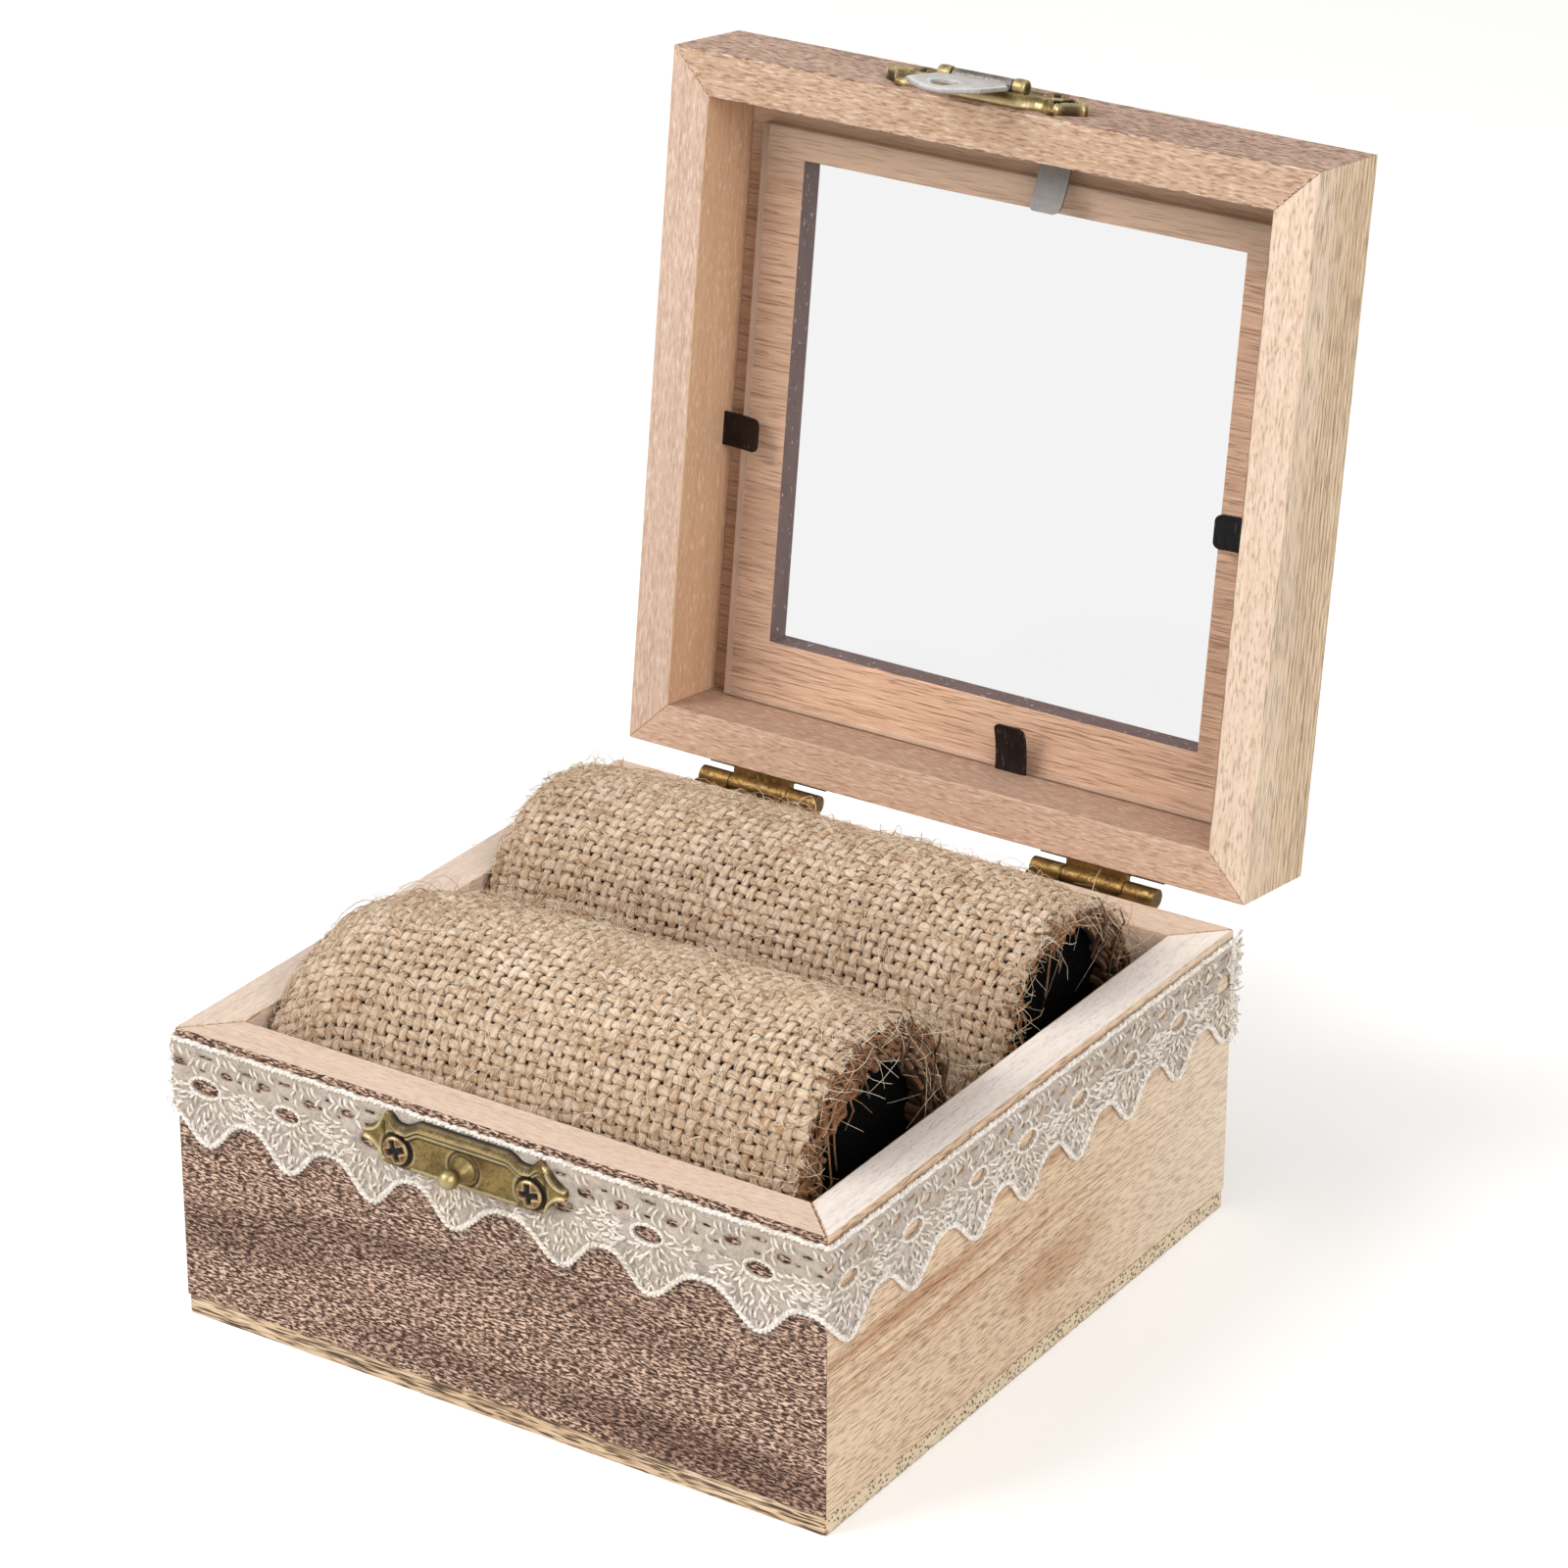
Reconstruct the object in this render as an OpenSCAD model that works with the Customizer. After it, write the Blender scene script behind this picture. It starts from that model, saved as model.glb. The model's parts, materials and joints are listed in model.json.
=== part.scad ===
// Wooden ring display box: an open box with a windowed lid, two wrapped foam rolls with a ring
// slot between them, a crocheted lace ribbon round the rim, two butt hinges and a hasp latch.
// Millimetres. +Z is up, the front faces -Y, and the origin is the centre of the underside.
// The lid is drawn shut and then swung back by lid_open about the hinge axis.

/* [Box] */
// Width of the box, left to right
box_w = 100; // [80:1:160]
// Depth of the box, front to back
box_d = 100; // [80:1:160]
// Height of the base, with its bottom panel
base_h = 42.2; // [34:0.1:60]
// Thickness of the base's side boards
wall_t = 6.5; // [5:0.1:9]
// Thickness of the bottom panel
bottom_t = 2.8; // [2:0.1:5]
// How far the bottom panel's edge stands back from the boards
bottom_inset = 0.2; // [0:0.1:1]

/* [Lid] */
// Width of the lid's rails
rail_w = 6.2; // [5.2:0.1:8]
// Height of the lid's rails
rail_h = 12; // [11:0.1:18]
// Thickness of the window panel on top of the rails
panel_t = 4.2; // [3:0.1:6]
// Width of wood that the window panel keeps round its opening
panel_border = 15.25; // [13.5:0.25:20]
// Angle at which the open lid comes to rest, in degrees
lid_open = 97.3; // [90:0.1:110]

/* [Window pane] */
// Thickness of the clear pane
pane_t = 2; // [1.5:0.1:3]
// Gap between the pane and the left rail
pane_gap_left = 2.9; // [0.2:0.1:4]
// Gap between the pane and the right rail
pane_gap_right = 5; // [0.2:0.1:5]
// Gap between the pane and the front rail
pane_gap_front = 4.4; // [0.2:0.1:5]
// Gap between the pane and the rear rail, which it stands on when the lid is open
pane_gap_rear = 0.2; // [0.1:0.1:2]

/* [Pane tabs] */
// Width of a spring tab
tab_w = 4.8; // [3:0.1:8]
// Thickness of a spring tab
tab_t = 0.4; // [0.3:0.05:0.8]
// Depth of a tab's slot in its rail
tab_bite = 2.5; // [1.5:0.1:4]
// Radius of a tab's free corners
tab_corner_r = 1; // [0.5:0.1:1.4]
// Left tab: place along the rail
tab_left_place = 4.8; // [-25:0.1:25]
// Left tab: reach over the pane
tab_left_reach = 6.3; // [4:0.1:10]
// Left tab: lift of its free end
tab_left_lift = 0.9; // [0:0.1:3]
// Right tab: place along the rail
tab_right_place = 2.7; // [-25:0.1:25]
// Right tab: reach over the pane
tab_right_reach = 8.4; // [6:0.1:10]
// Right tab: lift of its free end
tab_right_lift = 0.9; // [0:0.1:3]
// Front tab: place along the rail
tab_front_place = 6; // [-25:0.1:25]
// Front tab: reach over the pane
tab_front_reach = 8.2; // [6:0.1:10]
// Front tab: lift of its free end
tab_front_lift = 2.6; // [0:0.1:3]
// Rear tab: place along the rail
tab_rear_place = 7.1; // [-25:0.1:25]
// Rear tab: reach over the pane
tab_rear_reach = 7; // [4:0.1:10]
// Rear tab: lift of its free end
tab_rear_lift = 1.6; // [0:0.1:3]

/* [Hinges] */
// Distance between the middles of the two hinges
hinge_spread = 54.4; // [40:0.2:58]
// Length of a hinge's barrel
hinge_len = 19.4; // [16:0.2:24]
// Length of the middle knuckle
hinge_mid = 9.6; // [6:0.2:12]
// Height of a hinge leaf
leaf_h = 9; // [7.5:0.1:11]
// Thickness of a hinge leaf
leaf_t = 0.7; // [0.5:0.05:0.7]
// Radius of the hinge barrel
barrel_r = 1.35; // [1.3:0.05:1.6]
// Radius of the hinge pin
hinge_pin_r = 0.6; // [0.5:0.05:0.8]
// Gap between the hinge barrel and the back of the box
barrel_gap = 1; // [0.75:0.05:1.5]
// Height of the strip that joins a knuckle to its leaf
web_h = 1.1; // [0.8:0.05:1.3]
// Spacing of a leaf's two screws
leaf_screw_pitch = 12; // [8:0.5:13]

/* [Latch] */
// Sideways place of the latch's middle
latch_x = -3.1; // [-10:0.1:10]
// Half the length of the two latch plates
plate_half = 15.6; // [15:0.1:18]
// Height of a latch plate
plate_h = 7.3; // [7.1:0.1:8]
// Gap between a latch plate and the edge that the lid meets
plate_edge = 1.5; // [1:0.1:2]
// Relief of the catch plate on the base
catch_relief = 1.3; // [1:0.05:1.35]
// Relief of the hasp plate on the lid
hasp_relief = 1.85; // [1.2:0.05:1.9]
// Distance from the latch's middle to each screw
plate_screw_dx = 10.3; // [9.8:0.1:11]
// How far the latch screws sit past the middle line of their plate
plate_screw_off = 1.1; // [0:0.1:1.2]
// Depth of the catch stud below the rim
stud_drop = 6; // [5.5:0.1:6.4]
// Radius of the catch stud's foot
stud_foot_r = 1.85; // [1.8:0.05:1.85]
// Radius of the catch stud's ball
ball_r = 1.35; // [1.1:0.05:1.45]
// Height of the ball's middle above the wood
ball_lift = 4.5; // [4.3:0.1:5.5]
// Height of the hasp pin above the lid's lower edge
pin_rise = 4.2; // [3.8:0.1:4.6]
// Height of the hasp pin's axis above the lid's front face
pin_lift = 2.4; // [2.4:0.05:3]
// Radius of the hasp pin
hasp_pin_r = 0.5; // [0.4:0.05:0.55]
// Radius of the flap's rolled barrel
flap_barrel_r = 0.95; // [0.85:0.05:1]
// Length of the flap's rolled barrel
flap_barrel_len = 9.4; // [7:0.1:10]
// Width of the flap
flap_w = 11.5; // [10:0.1:12]
// Thickness of the flap
flap_t = 0.6; // [0.4:0.05:0.6]
// Radius of the flap's hole, which drops over the stud
flap_hole_r = 1.8; // [1.7:0.05:2]
// Metal left between the hole and the flap's tip
flap_lip = 1.4; // [1:0.1:2.5]
// Radius of the flap's rounded tip
flap_tip_r = 7.5; // [6.5:0.1:10]
// Angle at which the flap rests above its plate, in degrees
flap_rest = 5; // [0:0.5:20]
// Length of each ear that holds the hasp pin
ear_len = 2; // [1.5:0.1:2.5]
// Radius of each ear
ear_r = 1.1; // [0.9:0.05:1.2]
// Radius of the catch stud's riveted end
rivet_r = 0.9; // [0.6:0.05:1.2]
// Distance from a plate's outer edge to its first bead
first_bead = 1.15; // [0.9:0.05:1.3]
// Distance from a plate's outer edge to its second bead
second_bead = 1.8; // [1.65:0.05:1.9]
// Distance from a plate's outer edge to its flat field
field_edge = 2.1; // [2:0.05:2.3]
// Width of a leaf end's straight root
leaf_root = 1.5; // [1:0.1:2]
// Width of a leaf end's tip
leaf_tip = 1.4; // [0.8:0.1:2]
// Radius of the two scoops in a leaf end
leaf_scoop_r = 2.6; // [1.5:0.1:2.7]

/* [Screws] */
// Radius of a latch screw's head
latch_head_r = 2; // [1.6:0.05:2.1]
// Height of a latch screw's head
latch_head_h = 0.9; // [0.6:0.05:1.2]
// Radius of a latch screw's shank
latch_shank_r = 0.9; // [0.7:0.05:1.1]
// Radius of a hinge screw's head
leaf_head_r = 1.7; // [1.3:0.05:2]
// Height of a hinge screw's head
leaf_head_h = 0.7; // [0.5:0.05:1]
// Radius of a hinge screw's shank
leaf_shank_r = 0.8; // [0.6:0.05:1]
// Length of every screw under its head
screw_len = 4.8; // [3.5:0.1:5]

/* [Lace] */
// Gap between the rim and the lace's top edge
lace_top = 1; // [0.2:0.1:3]
// Height of the lace from its top edge to the valleys between scallops
lace_band = 10.2; // [7:0.1:14]
// How far a scallop hangs below the valleys
scallop_drop = 4.4; // [2:0.1:6]
// Distance from one scallop to the next
scallop_pitch = 13.8; // [10:0.1:20]
// Place of the first scallop's tip from the front left corner
scallop_start = 5.3; // [0:0.1:10]
// Thickness of the flattened lace
lace_t = 0.6; // [0.4:0.05:0.65]
// How far the ribbon's cut ends stop before the back corners
lace_end_gap = 0.6; // [0:0.1:5]
// Depth of the oval holes below the lace's top edge
oval_drop = 6.2; // [5:0.1:8]
// Width of an oval hole
oval_w = 4; // [2:0.1:5]
// Height of an oval hole
oval_h = 1.7; // [1:0.1:2.4]
// Depth of the small eyelets below the lace's top edge
eyelet_drop = 3.6; // [2.5:0.1:4.6]
// Distance of an eyelet from the middle of its oval hole
eyelet_dx = 3.6; // [3:0.1:5]
// Width of an eyelet
eyelet_w = 2.1; // [0.8:0.1:3]
// Height of an eyelet
eyelet_h = 1.1; // [0.6:0.1:1.6]

/* [Wrapped rolls] */
// Width of the ring slot between the two rolls
ring_slot = 10.7; // [6:0.1:16]
// How much wider than the mean the front roll is
roll_bias = 1.4; // [0:0.1:3]
// Gap between the front roll and the front board
roll_gap_front = 0.3; // [0.3:0.1:2]
// Gap between the rear roll and the rear board
roll_gap_rear = 2; // [0.3:0.1:4]
// Gap between the rolls' left ends and the left board
roll_gap_left = 0.9; // [0.3:0.1:3]
// Gap between the rolls' right ends and the right board
roll_gap_right = 2.9; // [0.3:0.1:5]
// Rise of the front roll's crest over the rim towards its left end
front_rise_left = 12.9; // [9:0.1:16]
// Rise of the front roll's crest over the rim at its right end
front_rise_right = 15.3; // [9:0.1:16]
// Rise of the rear roll's crest over the rim towards its left end
rear_rise_left = 11.2; // [9:0.1:16]
// Rise of the rear roll's crest over the rim at its right end
rear_rise_right = 11.8; // [9:0.1:16]
// How far the front roll's left end droops
front_droop = 6; // [0:0.1:8]
// How far the rear roll's left end droops
rear_droop = 1.2; // [0:0.1:8]
// Length over which the left ends droop
droop_run = 15; // [5:0.5:30]
// How much the crest swells between the ends
crest_swell = 0.5; // [0:0.1:2]
// How much each side draws in at the ends
end_draw = 0.7; // [0:0.1:2]
// Thickness of the woven cover
cover_t = 1.5; // [1:0.1:2.5]
// How far the foam stops inside the cover's ends
foam_inset = 1.6; // [0.5:0.1:4]

/* [Hidden] */

$fn = 64;
hair = 0.01;          // overlap that keeps cuts clean
seat_gap = 0.01;      // radial gap of a pin or rivet that is fixed in its hole
run_gap = 0.05;       // radial gap of a pin that turns in its hole
knuckle_gap = 0.15;   // gap between neighbouring knuckles
notch_gap = 0.15;     // gap between a knuckle and the other leaf's notch
foam_gap = 0.1;       // gap between the foam and its cover
boss_gap = 0.2;       // radial gap between the stud's boss and the flap's hole
foot_h = 0.35;        // height of the stud's foot
boss_h = 0.75;        // height at which the stud's boss starts
boss_top = 1.3;       // height at which the stud's boss ends
foot_chamfer = 1.5;   // slope along the two lower edges of a roll

cavity_w = box_w - 2*wall_t;
cavity_d = box_d - 2*wall_t;
lid_inner_w = box_w - 2*rail_w;
lid_inner_d = box_d - 2*rail_w;
window_w = box_w - 2*panel_border;
window_d = box_d - 2*panel_border;
pane_w = lid_inner_w - pane_gap_left - pane_gap_right;
pane_d = lid_inner_d - pane_gap_front - pane_gap_rear;
pane_x = (pane_gap_left - pane_gap_right)/2;
pane_y = (pane_gap_front - pane_gap_rear)/2;
pane_z = base_h + rail_h - pane_t;
tab_z = pane_z - tab_t;

axis_back = barrel_r + barrel_gap;
axis_y = box_d/2 + axis_back;
knuckle_end = (hinge_len - hinge_mid)/2;
notch_h = barrel_r + notch_gap;
leaf_screw_z = (leaf_h + notch_h)/2;

plate_mid = plate_edge + plate_h/2;
screw_rise = plate_mid + plate_screw_off;
stud_z = base_h - stud_drop;
pin_z = base_h + pin_rise;
flap_reach = pin_rise + stud_drop;
flap_len = flap_reach + flap_hole_r + flap_lip;
field_share = 0.63;   // height of a plate's flat field as a share of its relief
border_w = 0.45;      // width of the raised border along a plate's plain edge
leaf_inset = 1.2;     // where a leaf end starts, past the screw
leaf_lap = 0.2;       // how far the plate's beads run onto a leaf end
scoop_out = 0.3;      // how far the middle of a leaf's scoops lies past its tip

roll_x0 = -cavity_w/2 + roll_gap_left;
roll_x1 = cavity_w/2 - roll_gap_right;
mean_roll_w = (cavity_d - roll_gap_front - roll_gap_rear - ring_slot)/2;
front_roll_w = mean_roll_w + roll_bias;
rear_roll_w = mean_roll_w - roll_bias;
front_roll_y = -cavity_d/2 + roll_gap_front + front_roll_w/2;
rear_roll_y = cavity_d/2 - roll_gap_rear - rear_roll_w/2;
front_crest = [front_rise_left, front_rise_right, front_droop];
rear_crest = [rear_rise_left, rear_rise_right, rear_droop];
roll_steps = 14;
arch_steps = 18;

wood_dark = "#8f7060";
wood_light = "#dcb98f";
wood_pink = "#c9a689";
bronze = "#8a7440";

// ---------------------------------------------------------------- helpers

// Swings a piece drawn with the lid shut back to the open lid's resting place.
module opened() {
    translate([0, axis_y, base_h])
        rotate([-lid_open, 0, 0])
            translate([0, -axis_y, -base_h]) children();
}

// Places a flat piece on the front face: its Y runs up the face and its Z points out of it.
module on_front(x, z, lift = 0) {
    translate([x, -box_d/2 - lift, z]) rotate([90, 0, 0]) children();
}

// Places a flat piece on the back face: its Y runs down the face and its Z points out of it.
module on_back(x, z, lift = 0) {
    translate([x, box_d/2 + lift, z]) rotate([-90, 0, 0]) children();
}

// A board of the given run with mitred ends: its outer face is on y = 0 and it goes back by t.
module mitred_board(run, t, h) {
    linear_extrude(height = h)
        polygon([[-run/2, 0], [run/2, 0], [run/2 - t, t], [-run/2 + t, t]]);
}

module front_board(t, h, z) {
    translate([0, -box_d/2, z]) mitred_board(box_w, t, h);
}

module rear_board(t, h, z) {
    translate([0, box_d/2, z]) rotate([0, 0, 180]) mitred_board(box_w, t, h);
}

module left_board(t, h, z) {
    translate([-box_w/2, 0, z]) rotate([0, 0, -90]) mitred_board(box_d, t, h);
}

module right_board(t, h, z) {
    translate([box_w/2, 0, z]) rotate([0, 0, 90]) mitred_board(box_d, t, h);
}

// A cross-head screw that seats at z = 0, with its shank below.
module screw(head_r, head_h, shank_r) {
    slot_w = head_r*0.28;
    slot_l = head_r*1.25;
    slot_d = head_h*0.6;
    difference() {
        rotate_extrude()
            polygon([
                [0, -screw_len], [shank_r*0.3, -screw_len], [shank_r, -screw_len + shank_r],
                [shank_r, 0], [head_r, 0], [head_r, head_h*0.3],
                [head_r*0.78, head_h*0.72], [head_r*0.42, head_h*0.95], [0, head_h]
            ]);
        for (turn = [0, 90])
            rotate([0, 0, turn])
                translate([-slot_l/2, -slot_w/2, head_h - slot_d])
                    cube([slot_l, slot_w, slot_d + head_h]);
    }
}

// The hole that a screw's shank fills, from z = top down.
module screw_hole(shank_r, top = 0) {
    translate([0, 0, -screw_len - seat_gap])
        cylinder(r = shank_r + seat_gap, h = screw_len + seat_gap + top);
}

// ---------------------------------------------------------------- base

module bottom_panel() {
    color(wood_light)
        translate([-box_w/2 + bottom_inset, -box_d/2 + bottom_inset, 0])
            cube([box_w - 2*bottom_inset, box_d - 2*bottom_inset, bottom_t]);
}

module catch_screw_places() {
    for (side = [-1, 1])
        on_front(latch_x + side*plate_screw_dx, base_h - screw_rise, lace_t + catch_field) children();
}

module base_front_wall() {
    color(wood_dark)
        difference() {
            front_board(wall_t, base_h - bottom_t, bottom_t);
            catch_screw_places() screw_hole(latch_shank_r);
        }
}

module base_rear_wall() {
    color(wood_light)
        difference() {
            rear_board(wall_t, base_h - bottom_t, bottom_t);
            for (side = [-1, 1])
                base_leaf_screws(side) screw_hole(leaf_shank_r);
        }
}

module base_left_wall() {
    color(wood_light) left_board(wall_t, base_h - bottom_t, bottom_t);
}

module base_right_wall() {
    color(wood_light) right_board(wall_t, base_h - bottom_t, bottom_t);
}

// ---------------------------------------------------------------- lace ribbon

scallop_steps = 8;
hole_sides = 10;

// Depth of the lace's lower edge below its top edge, at the distance s along the ribbon.
function lace_edge(s) =
    let (f = (s - scallop_start)/scallop_pitch, near = abs(f - round(f))*2)
    lace_band + scallop_drop*pow(1 - near, 1.25);

// The ribbon's stretch from s0 to s1, flat, with its top edge on y = 0.
module lace_stretch(s0, s1) {
    step = scallop_pitch/scallop_steps;
    inner = [for (k = [ceil(s0/step + 0.05) : floor(s1/step - 0.05)]) k*step];
    places = concat([s0], inner, [s1]);
    first = ceil((s0 - scallop_start)/scallop_pitch + 0.2);
    last = floor((s1 - scallop_start)/scallop_pitch - 0.2);
    translate([-s0, 0])
        difference() {
            polygon(concat(
                [[s1, 0], [s0, 0]],
                [for (s = places) [s, -lace_edge(s)]]
            ));
            for (k = [first : last])
                translate([scallop_start + k*scallop_pitch, 0]) {
                    lace_hole(0, -oval_drop, oval_w/2, oval_h/2);
                    for (side = [-1, 1])
                        lace_hole(side*eyelet_dx, -eyelet_drop, eyelet_w/2, eyelet_h/2);
                }
        }
}

module lace_hole(x, y, rx, ry) {
    polygon([for (k = [0 : hole_sides - 1])
        [x + rx*cos(360*k/hole_sides), y + ry*sin(360*k/hole_sides)]]);
}

// One ribbon, glued along the left, front and right faces.
module lace_ribbon() {
    z = base_h - lace_top;
    run = box_d - lace_end_gap;
    color("#efe6d8")
        difference() {
            union() {
                on_front(-box_w/2 - lace_t, z)
                    linear_extrude(height = lace_t) lace_stretch(-lace_t, box_w + lace_t);
                translate([box_w/2 + lace_t, -box_d/2, z]) rotate([90, 0, 90]) mirror([0, 0, 1])
                    linear_extrude(height = lace_t)
                        lace_stretch(box_w + lace_t, box_w + lace_t + run);
                translate([-box_w/2 - lace_t, -box_d/2 + run, z]) rotate([90, 0, -90]) mirror([0, 0, 1])
                    linear_extrude(height = lace_t) lace_stretch(-lace_t - run, -lace_t);
            }
            catch_screw_places() screw_hole(latch_shank_r);
        }
}

// ---------------------------------------------------------------- wrapped rolls

function lerp(a, b, f) = a + (b - a)*f;

// Height of a roll's crest at the share f of its length from the left: rise holds its left rise,
// its right rise and the droop of its left end.
function crest(rise, f) =
    let (droop = max(0, 1 - f*(roll_x1 - roll_x0)/droop_run))
    base_h + lerp(rise[0], rise[1], f) + crest_swell*(1 - pow(2*f - 1, 2))
        - end_draw*pow(2*f - 1, 8) - rise[2]*droop*droop;

// The roll's outline at the share f of its length: a flat foot, straight sides and a round crest.
function roll_section(x, f, y_mid, width, rise, inset, foot) =
    let (
        half = width/2 - end_draw*pow(2*f - 1, 6) - inset,
        top = crest(rise, f) - inset,
        spring = top - half
    )
    concat(
        [[x, y_mid - half + foot_chamfer, foot], [x, y_mid - half, foot + foot_chamfer]],
        [for (k = [0 : arch_steps])
            let (a = 180 - 180*k/arch_steps) [x, y_mid + half*cos(a), spring + half*sin(a)]],
        [[x, y_mid + half, foot + foot_chamfer], [x, y_mid + half - foot_chamfer, foot]]
    );

// Where the cover and the foam both have a section, from left to right.
roll_stations = concat(
    [roll_x0],
    [for (i = [0 : roll_steps]) lerp(roll_x0 + foam_inset, roll_x1 - foam_inset, i/roll_steps)],
    [roll_x1]
);

// A roll from x0 to x1 as one closed skin, drawn in by inset from the cover's outside.
module roll_form(y_mid, width, rise, inset, x0, x1) {
    foot = bottom_t + inset;
    places = concat([x0], [for (x = roll_stations) if (x > x0 + hair && x < x1 - hair) x], [x1]);
    sections = [for (x = places)
        roll_section(x, (x - roll_x0)/(roll_x1 - roll_x0), y_mid, width, rise, inset, foot)];
    n = len(sections[0]);
    points = [for (s = sections) for (p = s) p];
    skin = [for (i = [0 : len(places) - 2]) for (j = [0 : n - 1])
        let (a = i*n + j, b = i*n + (j + 1)%n)
        each [[a, b, a + n], [b, b + n, a + n]]];
    end = (len(places) - 1)*n;
    left_cap = [for (j = [1 : n - 2]) [0, j + 1, j]];
    right_cap = [for (j = [1 : n - 2]) [end, end + j, end + j + 1]];
    polyhedron(points = points, faces = concat(skin, left_cap, right_cap), convexity = 4);
}

module foam_roll(y_mid, width, rise) {
    color("#2b2622")
        roll_form(y_mid, width, rise, cover_t + foam_gap, roll_x0 + foam_inset, roll_x1 - foam_inset);
}

module roll_cover(y_mid, width, rise) {
    color("#c4a078")
        difference() {
            roll_form(y_mid, width, rise, 0, roll_x0, roll_x1);
            roll_form(y_mid, width, rise, cover_t, roll_x0 - 0.5, roll_x1 + 0.5);
        }
}

// ---------------------------------------------------------------- latch

catch_field = catch_relief*field_share;
hasp_field = hasp_relief*field_share;

// An ornamental plate on z = 0 with a double bead along its +Y edge and a leaf at each end.
module latch_plate(relief) {
    field = relief*field_share;
    bead_len = 2*(plate_screw_dx + leaf_inset + leaf_lap);
    top = plate_h/2;
    difference() {
        union() {
            rotate([90, 0, 90])
                linear_extrude(height = bead_len, center = true)
                    polygon([
                        [-top, 0], [top, 0], [top, relief*0.25],
                        [top - first_bead*0.7, relief*0.85], [top - first_bead, relief],
                        [top - (first_bead + second_bead)/2, relief*0.86],
                        [top - second_bead, relief*0.94], [top - field_edge, field],
                        [-top + border_w, field], [-top + border_w/2, relief*0.78],
                        [-top, relief*0.5]
                    ]);
            for (side = [-1, 1])
                scale([side, 1, 1]) leaf_end(field);
        }
        for (side = [-1, 1])
            translate([side*plate_screw_dx, -plate_screw_off, -hair])
                cylinder(r = latch_shank_r + seat_gap, h = relief + 1);
    }
}

// The leaf that ends a latch plate: three points with a scoop between each two.
module leaf_end(field) {
    x0 = plate_screw_dx + leaf_inset;
    top = plate_h/2;
    linear_extrude(height = field)
        difference() {
            polygon([
                [x0, top], [x0 + leaf_root, top], [plate_half, leaf_tip/2],
                [plate_half, -leaf_tip/2], [x0 + leaf_root, -top], [x0, -top]
            ]);
            for (side = [-1, 1])
                translate([plate_half + scoop_out, side*top]) circle(r = leaf_scoop_r);
        }
}

module catch_plate() {
    color(bronze)
        difference() {
            on_front(latch_x, base_h - plate_mid, lace_t) latch_plate(catch_relief);
            on_front(latch_x, stud_z, lace_t - hair) cylinder(r = rivet_r + seat_gap, h = 5);
        }
}

// A turned stud: a riveted shank, a round boss, a waist and a ball.
module catch_stud() {
    z0 = lace_t + catch_field;
    ball_z = ball_lift - z0;
    waist_r = ball_r*0.72;
    ball_seat = ball_z - ball_r*0.69;
    boss_r = flap_hole_r - boss_gap;
    color("#a08a4c")
        on_front(latch_x, stud_z, z0) {
            translate([0, 0, -catch_field])
                cylinder(r = rivet_r, h = catch_field + hair);
            rotate_extrude()
                polygon([
                    [0, 0], [stud_foot_r, 0], [stud_foot_r, foot_h], [boss_r, boss_h],
                    [boss_r*0.82, boss_top], [waist_r, ball_seat], [0, ball_seat]
                ]);
            translate([0, 0, ball_z]) sphere(r = ball_r);
        }
}

module catch_screw(side) {
    color(bronze)
        on_front(latch_x + side*plate_screw_dx, base_h - screw_rise, lace_t + catch_field)
            screw(latch_head_r, latch_head_h, latch_shank_r);
}

// The hasp plate is the catch plate turned over, with two ears for the flap's pin.
module hasp_plate() {
    ear_x = flap_barrel_len/2 + knuckle_gap;
    color(bronze)
        opened() {
            on_front(latch_x, base_h + plate_mid) mirror([0, 1, 0]) latch_plate(hasp_relief);
            for (side = [-1, 1])
                difference() {
                    translate([latch_x + side*(ear_x + ear_len/2), 0, 0]) hasp_ear();
                    hasp_axis_cylinder(hasp_pin_r + seat_gap, 2*plate_half);
                }
        }
}

module hasp_ear() {
    translate([0, -box_d/2 - pin_lift, pin_z])
        rotate([0, 90, 0]) cylinder(r = ear_r, h = ear_len, center = true);
    translate([-ear_len/2, -box_d/2 - pin_lift, pin_z - ear_r])
        cube([ear_len, pin_lift - hasp_field/2, 2*ear_r]);
}

// A cylinder on the hasp pin's axis, with the lid drawn shut.
module hasp_axis_cylinder(r, len) {
    translate([latch_x, -box_d/2 - pin_lift, pin_z])
        rotate([0, 90, 0]) cylinder(r = r, h = len, center = true);
}

module hasp_pin() {
    color("#b8b3a6")
        opened() hasp_axis_cylinder(hasp_pin_r, flap_barrel_len + 2*(knuckle_gap + ear_len));
}

module hasp_screw(side) {
    color(bronze)
        opened()
            on_front(latch_x + side*plate_screw_dx, base_h + screw_rise, hasp_field)
                screw(latch_head_r, latch_head_h, latch_shank_r);
}

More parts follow.
